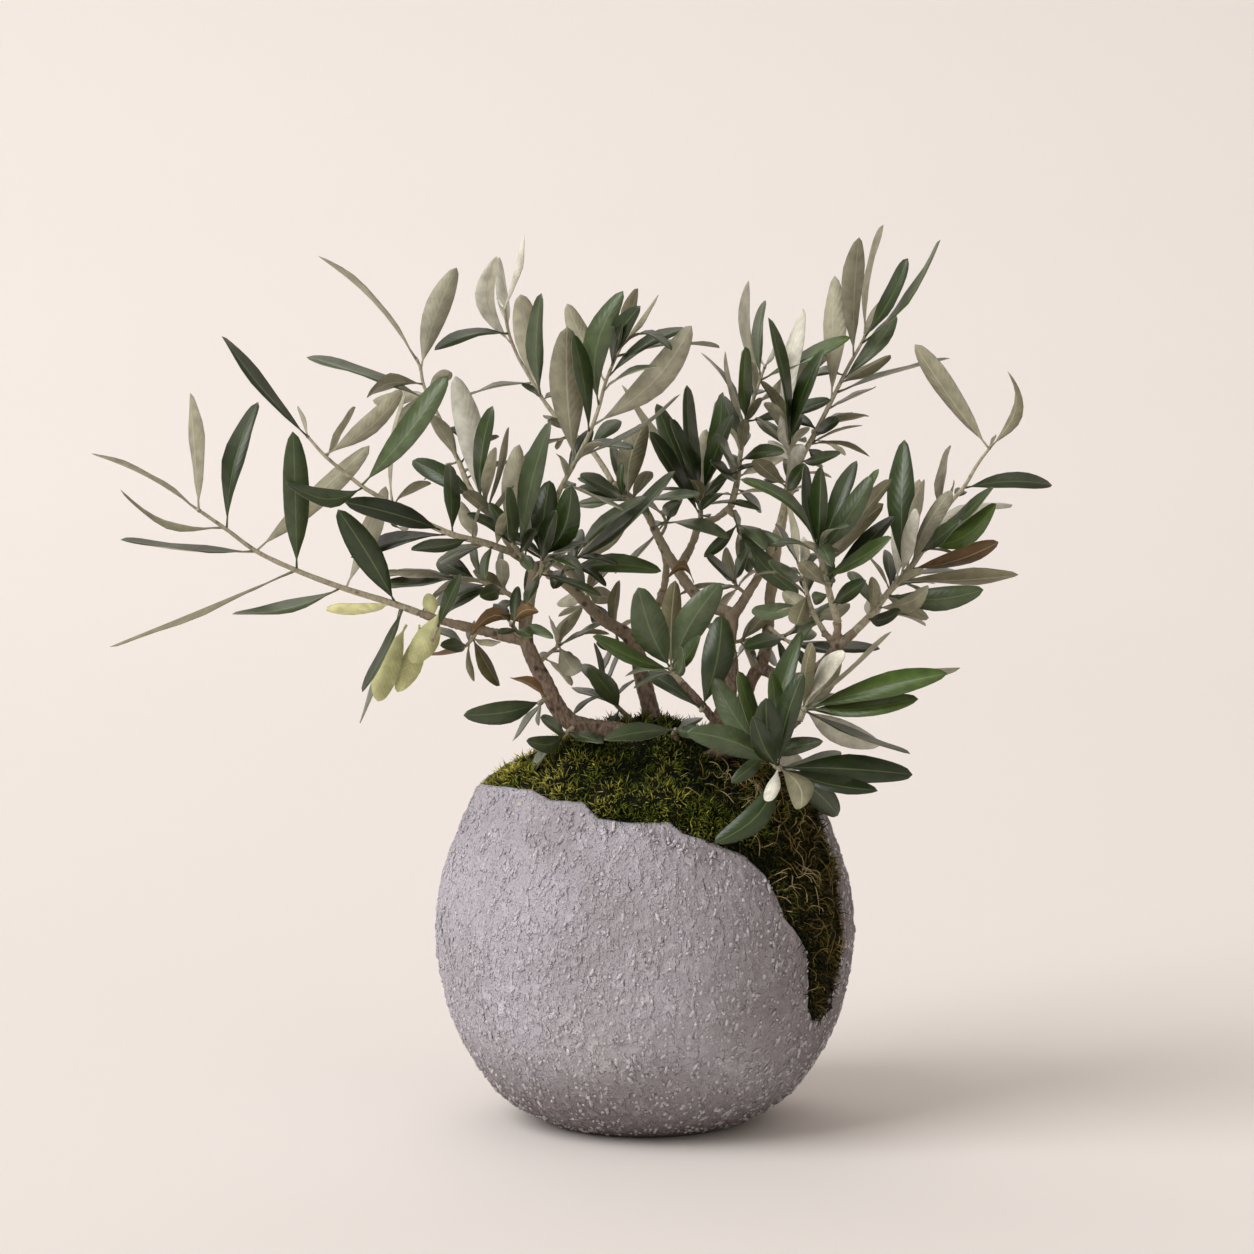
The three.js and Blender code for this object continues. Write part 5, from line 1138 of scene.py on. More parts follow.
@dataclass
class Pot:
    """The stoneware pot: its shell and the grit that stands out of it.

    Its slip is drawn by three patterns, of streaks, lumps and broad swellings, each with its width
    along X, Y and Z. The slip is rubbed pale at one place on the front.
    """

    form: PotForm
    columns: int = 480
    outer_rows: int = 160
    inner_rows: int = 24
    cleft: tuple[float, float, float, float] = (20, 34, 78, 92)
    slip: tuple[Point, Point, Point] = ((3.4, 3.4, 10), (3.4, 3.4, 4.4), (21, 21, 26))
    relief: float = 0.85
    dent: float = 2.2
    dent_width: float = 15
    lip_round: float = 0.9
    rubbed: Point = (-24, -82, 45)
    rub_width: float = 34
    grains: int = 12500
    grain_size: tuple[float, float] = (0.4, 0.95)
    grain_lean: float = 0.35
    crowd_width: float = 11
    crowding: tuple[float, float] = (-0.75, 0.25)
    grain_rows: tuple[float, float] = (2, 150)
    bare_lip: float = 2.2
    pale: tuple[float, float] = (0.4, 1)
    seed: int = 7

    def build(self, stoneware: Material) -> None:
        """Builds the pot's pieces in the place of its solid.

        Args:
            stoneware: their finish.
        """
        shell = finished("pot_shell", self.shell(), [stoneware])
        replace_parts(shell, "pot")
        finished("pot_grit", self.grit(), [stoneware])

    def azimuths(self) -> ndarray:
        """Spaces the columns round the pot, closer where the lip falls into the cleft.

        Returns:
            Their azimuths in degrees.
        """
        fine = np.linspace(-180, 180, 3601)
        start, steep, easing, end = self.cleft
        weight = 1 + 1.6 * step(start, steep, fine) * (1 - step(easing, end, fine))
        run = np.concatenate([[0], np.cumsum(weight[1:])])
        return np.interp(np.arange(self.columns) * run[-1] / self.columns, run, fine)

    def roughness(self, point: ndarray) -> float:
        """How far the brushed slip stands out at a point of the pot, as a share of the relief."""
        streak, lump, swelling = (noise.noise(Vector(point / np.array(width))) for width in self.slip)
        return max(0.0, 1 - 3.2 * abs(streak)) ** 2 * 0.5 + max(0.0, lump - 0.12) * 1.9 + 0.3 * swelling

    def shell(self) -> Mesh:
        """Builds the wall as a grid drawn round the axis, up the outside, over the lip and down.

        Returns:
            The closed shell, with its relief.
        """
        azimuths = self.azimuths()
        lips = self.form.lip(azimuths)
        rows = self.outer_rows + self.inner_rows
        bm = bmesh.new()
        bmesh.ops.create_grid(bm, x_segments=self.columns, y_segments=rows, size=0.5)
        relief = bm.verts.layers.float.new("relief")
        for vert in bm.verts:
            column = round((vert.co.x + 0.5) * self.columns) % self.columns
            row = round((vert.co.y + 0.5) * rows)
            azimuth, lip = azimuths[column], lips[column]
            if row <= self.outer_rows:
                vert.co, vert[relief] = self.outside(azimuth, lip, row / self.outer_rows)
            else:
                vert.co = self.inside(azimuth, lip, (row - self.outer_rows) / self.inner_rows)
        bmesh.ops.remove_doubles(bm, verts=bm.verts, dist=WELD)
        ends = [edge for edge in bm.edges if edge.is_boundary]
        bmesh.ops.holes_fill(bm, edges=ends, sides=0)
        bmesh.ops.recalc_face_normals(bm, faces=bm.faces)
        return mesh_from(bm, "pot_shell")

    def outside(self, azimuth: float, lip: float, share: float) -> tuple[ndarray, float]:
        """Finds a point of the outside, which the slip raises and the tear dents below the lip.

        Args:
            azimuth: its azimuth in degrees.
            lip: the lip's height there.
            share: how far up to the lip it is, from 0 to 1.

        Returns:
            The point, and the share of the grain's colour there: a painted highlight on raised slip, and the
            rubbed place.
        """
        height = lip * share
        slope = self.form.slope(height)
        point = turned(azimuth, float(self.form.radius(height)), height)
        rise = self.roughness(point) * step(0, 0.03, share) * (1 - 0.6 * step(0.975, 1, share))
        rise += self.dent * noise.noise(Vector(point) / self.dent_width) * step(0.84, 0.97, share)
        edge = self.lip_round * step(0.985, 1, share)
        out = turned(azimuth, 1, -slope) / math.hypot(1, slope)
        rub = step(self.rub_width, 0, float(np.linalg.norm(point - np.array(self.rubbed))))
        # Painted highlight: raised slip is painted paler.
        return point + out * (rise * self.relief - edge), 0.12 * min(1.0, rise) + 0.3 * rub

    def inside(self, azimuth: float, lip: float, share: float) -> ndarray:
        """Finds a point of the inside.

        Args:
            azimuth: its azimuth in degrees.
            lip: the lip's height there.
            share: how far down from the lip to the floor it is, from 0 to 1.

        Returns:
            The point.
        """
        height = lip + (self.form.floor - lip) * share
        radius = self.form.radius(height) - self.form.wall(azimuth, height)
        return turned(azimuth, float(radius), height - 0.5 * (1 - share) ** 8)

    def grit(self) -> Mesh:
        """Scatters the slip's pale grains over the outside, each a flat lump, most drawn upright.

        Returns:
            One mesh of all the grains.
        """
        draw = np.random.default_rng(self.seed)
        bm = bmesh.new()
        bmesh.ops.create_icosphere(bm, subdivisions=1, radius=1)
        template = mesh_from(bm, "grain")
        ball = np.array([vert.co for vert in template.vertices])
        azimuth, height = self.grain_spots(draw)
        count = len(height)
        out = unit(turned(azimuth, 1, -self.form.slope(height)))
        around = turned(azimuth + 90, 1, 0 * height)
        upward = np.cross(out, around)
        small, large = self.grain_size
        size = small + (large - small) * draw.power(0.55, count)
        lean = draw.normal(self.grain_lean, self.grain_lean, count)[:, None]
        long = upward * np.cos(lean) + around * np.sin(lean)
        wide = np.cross(long, out)
        stretch = draw.uniform(1, 1.35, count) + 1.9 * (draw.uniform(0, 1, count) > 0.8)
        lumpy = draw.uniform(0.75, 1.25, (count, len(ball), 1))
        shape = ball[None] * lumpy * np.stack([size, size * stretch, size * 0.75], axis=1)[:, None]
        centres = turned(azimuth, self.form.radius(height), height) + out * (0.15 + size * 0.22)[:, None]
        places = centres[:, None] + shape[..., :1] * wide[:, None] + shape[..., 1:2] * long[:, None]
        places = places + shape[..., 2:] * out[:, None]
        mesh = repeated("pot_grit", template, places, np.ones((*places.shape[:2], 3)))
        values = np.repeat(draw.uniform(*self.pale, count), len(ball)).astype(np.float32)
        mesh.attributes.new("relief", "FLOAT", "POINT").data.foreach_set("value", values)
        return mesh

    def grain_spots(self, draw: np.random.Generator) -> tuple[ndarray, ndarray]:
        """Draws where the grains lie, in crowds with barer slip between them.

        Args:
            draw: the seeded draw.

        Returns:
            Their azimuths in degrees and their heights.
        """
        azimuth = draw.uniform(-180, 180, self.grains)
        height = draw.uniform(*self.grain_rows, self.grains)
        spots = turned(azimuth, self.form.radius(height), height)
        crowd = np.array([noise.noise(Vector(spot) / self.crowd_width) for spot in spots])
        below = height < self.form.lip(azimuth) - self.bare_lip
        kept = below & (crowd > draw.uniform(*self.crowding, self.grains))
        return azimuth[kept], height[kept]


class MossTone(Enum):
    """The colours of the moss, from its ground, painted near black as shade, to its dry strands."""

    GROUND = "#0f1207"
    # Painted shade inside the moss.
    DEEP = "#161d06"
    GREEN = "#4a5713"
    # Yellow-green tips, painted lighter where the light falls on the left.
    BRIGHT = "#b3ab4c"
    DRY = "#766236"
    STRAW = "#a8946a"

    @property
    def light(self) -> ndarray:
        """The colour in linear light."""
        return np.array(linear(self.value)[:3])


@dataclass
class Moss:
    """The moss cushion over the soil, and its tongue that fills the cleft.

    The mound's outline is given by radius and height from the crown outwards. Below its last point,
    the shoulder, the outline follows the pot's side down to a lowest height. A place on the moss is an
    azimuth in degrees and its run, the length along that outline from the crown.
    """

    form: PotForm
    mound: tuple = ((0, 174), (14, 172.5), (28, 167), (42, 160), (55, 152.5), (66, 146), (73, 139.5))
    low: float = 46
    inset: float = 1.2
    bulge: float = 2.4
    cleft_middle: float = 54
    lumps: tuple = ((2.8, 13), (1.9, 5))
    tuft: float = 4.4
    tuft_height: float = 2.2
    tuft_fan: float = 0.7
    gap: float = 0.4
    columns: int = 240
    rows: int = 150
    mound_reach: float = 76
    mound_strands: int = 18500
    cleft_strands: int = 8200
    cleft_sides: tuple[float, float] = (-20, 80)
    strand_width: tuple[float, float] = (0.2, 0.38)
    strand_length: tuple[float, float] = (2.8, 7.8)
    # Painted shade and light along a strand: its root, its middle and its tip.
    strand_shading: Point = (0.22, 0.9, 1.6)
    sunk: float = 1.4
    patch: float = 13
    fibres: int = 220
    fibre_girth: tuple[float, float] = (0.22, 0.12)
    fibre_patch: float = 9
    seed: int = 19

    def __post_init__(self) -> None:
        """Lays out the outline from the crown outwards and down the pot's side."""
        heights = np.linspace(self.mound[-1][1] - 1, self.low, 40)
        side = [(float(self.form.radius(height)) - self.inset, height) for height in heights]
        self.outline = np.array([*self.mound, *side], float)
        gaps = np.linalg.norm(np.diff(self.outline, axis=0), axis=1)
        self.run = np.concatenate([[0], np.cumsum(gaps)])
        self.shoulder = self.run[len(self.mound) - 1]

    def surface(self, azimuth: float, run: float) -> ndarray:
        """Finds a point of the moss's surface.

        Args:
            azimuth: its azimuth.
            run: its run.

        Returns:
            The point, pushed in behind the wall where the pot covers it.
        """
        radius = float(np.interp(run, self.run, self.outline[:, 0]))
        height = float(np.interp(run, self.run, self.outline[:, 1]))
        wall = float(self.form.wall(azimuth, height))
        inner = float(self.form.radius(height)) - wall - self.gap
        open_share = float(step(-1.5, 1.5, height - self.form.lip(azimuth)))
        probe = Vector(turned(azimuth, radius, height))
        lump = sum(rise * noise.noise(probe / width) for rise, width in self.lumps)
        aside = abs(azimuth - self.cleft_middle) * 2.2
        in_cleft = float(step(-60, -10, -aside)) * float(step(0, 30, run - self.shoulder))
        freed = radius + (lump * 0.7 + self.bulge * in_cleft) * open_share
        held = min(radius, inner)
        rise = lump * float(step(0, 20, self.shoulder + 8 - run)) if run < self.shoulder else 0
        return turned(azimuth, held + (freed - held) * open_share, height + rise)

    def build(self, moss: Material, fibre: Material) -> None:
        """Builds the moss's pieces in the place of its solid.

        Args:
            moss: the finish of the living moss.
            fibre: the finish of the dry strands.
        """
        ground = finished("moss_ground", self.ground(), [moss])
        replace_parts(ground, "moss")
        draw = np.random.default_rng(self.seed)
        finished("moss_mound", self.strands("moss_mound", draw, *self.mound_spots(draw)), [moss])
        finished("moss_cleft", self.strands("moss_cleft", draw, *self.cleft_spots(draw)), [moss])
        finished("dry_fibres", self.dry_fibres(), [fibre])

    def ground(self) -> Mesh:
        """Builds the cushion that the strands stand on.

        Returns:
            The cushion, closed below.
        """
        bm = bmesh.new()
        bmesh.ops.create_grid(bm, x_segments=self.columns, y_segments=self.rows, size=0.5)
        for vert in bm.verts:
            azimuth = 360 * (round((vert.co.x + 0.5) * self.columns) % self.columns) / self.columns
            share = vert.co.y + 0.5
            vert.co = self.surface(azimuth, share * self.run[-1])
        bmesh.ops.remove_doubles(bm, verts=bm.verts, dist=WELD)
        bmesh.ops.holes_fill(bm, edges=[edge for edge in bm.edges if edge.is_boundary], sides=0)
        bmesh.ops.recalc_face_normals(bm, faces=bm.faces)
        mesh = mesh_from(bm, "moss_ground")
        # Painted shade: the cushion under the strands is painted near black.
        paint(mesh, np.tile(MossTone.GROUND.light, (len(mesh.vertices), 1)))
        return mesh

    def mound_spots(self, draw: np.random.Generator) -> tuple[ndarray, ndarray]:
        """Draws where strands stand on the mound.

        Args:
            draw: the seeded draw.

        Returns:
            Their azimuths and runs.
        """
        azimuth = draw.uniform(-180, 180, self.mound_strands)
        radius = self.mound_reach * np.sqrt(draw.uniform(0, 1, self.mound_strands))
        top = len(self.mound)
        return azimuth, np.interp(radius, self.outline[:top, 0], self.run[:top])

    def cleft_spots(self, draw: np.random.Generator) -> tuple[ndarray, ndarray]:
        """Draws where strands stand in the cleft, from just inside the shoulder down.

        Args:
            draw: the seeded draw.

        Returns:
            Their azimuths and runs.
        """
        tries = self.cleft_strands * 5
        azimuth = draw.uniform(*self.cleft_sides, tries)
        run = draw.uniform(self.run[len(self.mound) - 2], self.run[-1] - 2, tries)
        height = np.interp(run, self.run, self.outline[:, 1])
        kept = np.flatnonzero(height > self.form.lip(azimuth) + 0.3)[:self.cleft_strands]
        return azimuth[kept], run[kept]

    def strands(self, name: str, draw: np.random.Generator, azimuth: ndarray, run: ndarray) -> Mesh:
        """Grows short curved strands out of the surface.

        Args:
            name: the mesh's name.
            draw: the seeded draw.
            azimuth: the strands' azimuths.
            run: the strands' runs.

        Returns:
            One mesh of three-sided strands, with painted shade at the root and painted light at the tip.
        """
        count = len(azimuth)
        roots, normal = self.stand(azimuth, run)
        steep = 1 - np.clip(normal[:, 2], 0, 1)
        stray = draw.normal(0, 1, (count, 3))
        short, long = self.strand_length
        length = (short + (long - short) * draw.power(0.8, count)) * (1 - 0.2 * steep)
        hanging = np.array((0, 0, 1)) * (0.35 + 0.6 * steep)[:, None]
        falling = unit(normal * 0.2 + 0.75 * draw.normal(0, 1, (count, 3)) - hanging)
        crest, slope = self.tufts(roots)
        rising = unit(unit(normal + 0.75 * stray) + normal * 0.15 - slope * self.tuft_fan)
        roots = roots + normal * (self.tuft_height * crest - self.sunk)[:, None]
        middles = roots + rising * (0.55 * length)[:, None]
        tips = middles + (0.62 * rising + 0.5 * falling) * (0.5 * length)[:, None]
        template = self.strand()
        shape = np.array([vert.co for vert in template.vertices])
        cross = unit(np.cross(rising, stray + 1e-3))
        other = np.cross(rising, cross)
        width = draw.uniform(*self.strand_width, count)[:, None, None]
        levels = np.where(np.hypot(shape[:, 0], shape[:, 1]) < 0.1, 2, np.where(shape[:, 2] > 0, 1, 0))
        centres = np.stack([roots, middles, tips])[levels].transpose(1, 0, 2)
        wide = shape[None, :, :1] * cross[:, None] + shape[None, :, 1:2] * other[:, None]
        places = centres + width * wide
        # Painted shade between the tufts and painted light on their crests.
        tones = self.tones(draw, roots) * np.clip(1 + 1.5 * crest, 0.3, 1.9)[:, None]
        colours = tones[:, None] * np.array(self.strand_shading)[levels][None, :, None]
        return repeated(name, template, places, colours)

    def stand(self, azimuth: ndarray, run: ndarray) -> tuple[ndarray, ndarray]:
        """Finds the surface's points and the directions straight out of it.

        Args:
            azimuth: the places' azimuths.
            run: the places' runs.

        Returns:
            The points and the directions, one a row.
        """
        roots, aside, onward = (
            np.array([self.surface(a + turn, r + shift) for a, r in zip(azimuth, run)])
            for turn, shift in ((0, 0), (0.6, 0), (0, 0.8))
        )
        normal = unit(np.cross(onward - roots, aside - roots))
        normal[normal[:, 2] < -0.3] *= -1
        return roots, normal

    def strand(self) -> Mesh:
        """Makes the strand that is repeated: three sides, with a point in the middle of its top.

        Returns:
            The strand.
        """
        bm = bmesh.new()
        bmesh.ops.create_cone(bm, cap_ends=True, segments=3, radius1=1, radius2=0.8, depth=1)
        top = max(bm.faces, key=lambda face: face.calc_center_median().z)
        bmesh.ops.poke(bm, faces=[top])
        return mesh_from(bm, "strand")

    def tufts(self, roots: ndarray) -> tuple[ndarray, ndarray]:
        """Finds how the moss bunches in tufts.

        Args:
            roots: where the strands stand.

        Returns:
            How near a tuft's crest each root is, and the direction in which its tuft rises.
        """
        def crest(shift: Sequence[float]) -> ndarray:
            """The tufts' height at the roots, moved a little."""
            return np.array([noise.noise((Vector(root) + Vector(shift)) / self.tuft) for root in roots])

        here = crest((0, 0, 0))
        rise = np.stack([crest(shift) - here for shift in 0.5 * np.eye(3)], axis=1)
        return here, unit(rise)

    def tones(self, draw: np.random.Generator, roots: ndarray) -> ndarray:
        """Draws each strand's colour: yellow-green with painted light to the left, deep green with painted
        shade inside, and drier to the right.

        Args:
            draw: the seeded draw.
            roots: where the strands stand.

        Returns:
            One colour a strand, in linear light.
        """
        patch = np.array([noise.noise(Vector(root) / self.patch) for root in roots])
        # Painted light: lighter to the left, where the light comes from, and painted shade towards the
        # middle.
        painted_light_share = np.clip(0.42 - roots[:, 0] / 150 + 0.6 * patch + draw.normal(0, 0.2, len(roots)), 0, 1)
        dry = np.clip(roots[:, 0] / 190 - 0.16 + draw.normal(0, 0.2, len(roots)), 0, 0.8)
        deep, green, bright = MossTone.DEEP.light, MossTone.GREEN.light, MossTone.BRIGHT.light
        low, high = np.clip(2 * painted_light_share, 0, 1)[:, None], np.clip(2 * painted_light_share - 1, 0, 1)[:, None]
        fresh = deep + (green - deep) * low + (bright - green) * high
        return fresh + (MossTone.DRY.light - fresh) * dry[:, None]

    def dry_fibres(self) -> Mesh:
        """Lays long dry strands over the moss, most of them in the cleft and on the right.

        Returns:
            One mesh of all the strands.
        """
        draw = random.Random(self.seed)
        bm = bmesh.new()
        for _ in range(self.fibres):
            azimuth = draw.gauss(55, 16)
            run = draw.uniform(self.run[3], self.run[-1] - 12)
            height = float(np.interp(run, self.run, self.outline[:, 1]))
            if height >= self.form.lip(azimuth) + 3:
                self.add_fibre(bm, draw, azimuth, run)
        mesh = mesh_from(bm, "dry_fibres")
        tones = [MossTone.DRY.light, MossTone.STRAW.light]
        paint(mesh, np.array([
            tones[int(noise.cell(vert.co / self.fibre_patch) * 2) % 2] for vert in mesh.vertices
        ]))
        return mesh

    def add_fibre(self, bm: BMesh, draw: random.Random, azimuth: float, run: float) -> None:
        """Adds one fibre that wanders over the surface.

        Args:
            bm: the mesh that it goes into.
            draw: the seeded draw.
            azimuth: the azimuth where it starts.
            run: the run where it starts.
        """
        heading, bend = draw.uniform(0, math.tau), draw.uniform(-0.5, 0.5)
        points = []
        for i in range(5):
            lift = 2.4 + 2.4 * math.sin(math.pi * i / 4) * draw.uniform(0.4, 1.2)
            point = self.surface(azimuth, run)
            points.append(point * (1 + lift / max(60, float(np.linalg.norm(point)))))
            azimuth += 1.9 * math.cos(heading)
            run = min(self.run[-1] - 4, run + 3.1 * math.sin(heading))
            heading += bend + draw.uniform(-0.6, 0.6)
        add_round_stem(bm, Course(points), self.fibre_girth, 4, 1.8)


@dataclass
class WoodyStems:
    """The olive's bark-covered stems, from the stump to where the leafy shoots start.

    A limb is its radius at the root and the end, and its points. A swelling is a share of the radius
    and a width, and a spur's place is a share of its limb's length.
    """

    limbs: dict
    sides: int = 14
    pitch: float = 2.5
    swellings: tuple = ((0.13, 9), (0.08, 3.5))
    voxel: float = 0.62
    knobs: int = 150
    knob_size: tuple[float, float] = (0.5, 1.15)
    knob_place: tuple[float, float] = (0.12, 0.98)
    ridge: float = 0.3
    ridge_size: Point = (1.7, 1.7, 4.5)
    seed: int = 5

    def swell(self, point: Vector) -> float:
        """How much thicker a stem is at a point than its even taper."""
        return 1 + sum(share * noise.noise(point / width) for share, width in self.swellings)

    def build(self, bark: Material) -> None:
        """Builds the stems in the place of their solid, joined in one skin at their forks.

        Args:
            bark: their finish.
        """
        bm = bmesh.new()
        draw = random.Random(self.seed)
        courses = [(Course.seen(stem), girth) for girth, stem in self.limbs.values()]
        for course, girth in courses:
            add_round_stem(bm, course, girth, self.sides, self.pitch, self.swell)
        for _ in range(self.knobs):
            self.add_knob(bm, draw, *draw.choice(courses))
        mesh = self.skin(mesh_from(bm, "stems_rough"))
        bm = bmesh.new()
        bm.from_mesh(mesh)
        bmesh.ops.smooth_vert(
            bm, verts=bm.verts, factor=0.6, use_axis_x=True, use_axis_y=True, use_axis_z=True,
        )
        bm.normal_update()
        shifts = [vert.normal * self.bark_height(vert.co) for vert in bm.verts]
        for vert, shift in zip(bm.verts, shifts):
            vert.co += shift
        bm.to_mesh(mesh)
        bm.free()
        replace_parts(finished("woody_stems", mesh, [bark]), "stems")

    def skin(self, rough: Mesh) -> Mesh:
        """Joins stems that run into each other in one closed skin.

        Args:
            rough: the mesh of the separate stems.

        Returns:
            The skin.
        """
        stems = bpy.data.objects.new("stems_rough", rough)
        bpy.context.scene.collection.objects.link(stems)
        remesh = stems.modifiers.new("skin", "REMESH")
        remesh.mode = "VOXEL"
        remesh.voxel_size = self.voxel
        mesh = bpy.data.meshes.new_from_object(stems.evaluated_get(bpy.context.evaluated_depsgraph_get()))
        bpy.data.objects.remove(stems)
        return mesh

    def bark_height(self, point: Vector) -> float:
        """How far the bark's ridges stand out at a point."""
        drawn = Vector(c / size for c, size in zip(point, self.ridge_size))
        return self.ridge * (0.8 - 2.2 * abs(noise.noise(drawn)))

    def add_knob(self, bm: BMesh, draw: random.Random, course: Course, girth: tuple) -> None:
        """Adds a knob or a short spur where a leaf or twig once grew.

        Args:
            bm: the mesh that it goes into.
            draw: the seeded draw.
            course: the stem that it stands on.
            girth: that stem's radius at its two ends.
        """
        share = draw.uniform(*self.knob_place)
        radius = girth[0] + (girth[1] - girth[0]) * share
        angle = draw.uniform(0, math.tau)
        out = Vector((math.cos(angle), math.sin(angle), draw.uniform(-0.3, 0.6))).normalized()
        place = Vector(course.at(share)) + out * radius * 0.85
        ball = bmesh.ops.create_icosphere(bm, subdivisions=2, radius=draw.uniform(*self.knob_size))
        bmesh.ops.translate(bm, verts=ball["verts"], vec=place)


@dataclass
class BladeForm:
    """The shape that all leaves share: a narrow folded blade on a short stalk.

    The stalk's length, the fold, the arch and the wave are shares of the leaf's length or width, and
    the twist is in degrees. The stalk's radius, the thickness, the edge and the rib are in millimetres.
    """

    across: int = 2
    along: int = 12
    crowding: float = 0.55
    stalk: float = 0.075
    stalk_radius: float = 0.55
    thickness: float = 0.27
    edge: float = 0.14
    rib: float = 0.2
    fold: float = 0.2
    arch: float = 0.06
    wave: float = 0.05
    twist: float = 16

    def template(self) -> Mesh:
        """Makes the flat blade, one unit long and wide, with its upper face and its underside.

        Returns:
            The blade, whose UV map runs across and along it.
        """
        bm = bmesh.new()
        bmesh.ops.create_grid(bm, x_segments=self.across, y_segments=self.along, size=0.5)
        uv = bm.loops.layers.uv.new("blade")
        for face in bm.faces:
            for loop in face.loops:
                loop[uv].uv = (loop.vert.co.x + 0.5, self.placed(loop.vert.co.y + 0.5))
        bmesh.ops.solidify(bm, geom=bm.faces[:], thickness=2 * TOP_MARGIN)
        bmesh.ops.recalc_face_normals(bm, faces=bm.faces)
        top = max(vert.co.z for vert in bm.verts)
        for face in bm.faces:
            face.material_index = 0 if all(vert.co.z > top - TOP_MARGIN for vert in face.verts) else 1
        return mesh_from(bm, "blade")

    def placed(self, share: float | ndarray) -> float | ndarray:
        """Where a share of the steps along the blade lies: the steps crowd towards its two ends."""
        return share - self.crowding * np.sin(math.tau * share) / math.tau

    def breadth(self, share: ndarray) -> ndarray:
        """The half width as a share of the widest: broadest past the middle, blunt at the tip."""
        blade = np.clip((share - self.stalk) / (1 - self.stalk), 0, 1)
        return np.sin(math.pi * blade ** 1.15) ** (0.88 - 0.38 * blade)


@dataclass(frozen=True)
class LeafRow:
    """One leaf as the front view shows it."""

    place: float
    x: float
    height: float
    seen_width: float
    face: Face
    bow: float


@dataclass
class Shoot:
    """A leafy shoot while it grows: its stem, and the leaves that it has so far."""

    name: str
    course: Course
    girth: tuple[float, float]
    roots: list[Vector]
    places: list[ndarray]
    colours: list[ndarray]


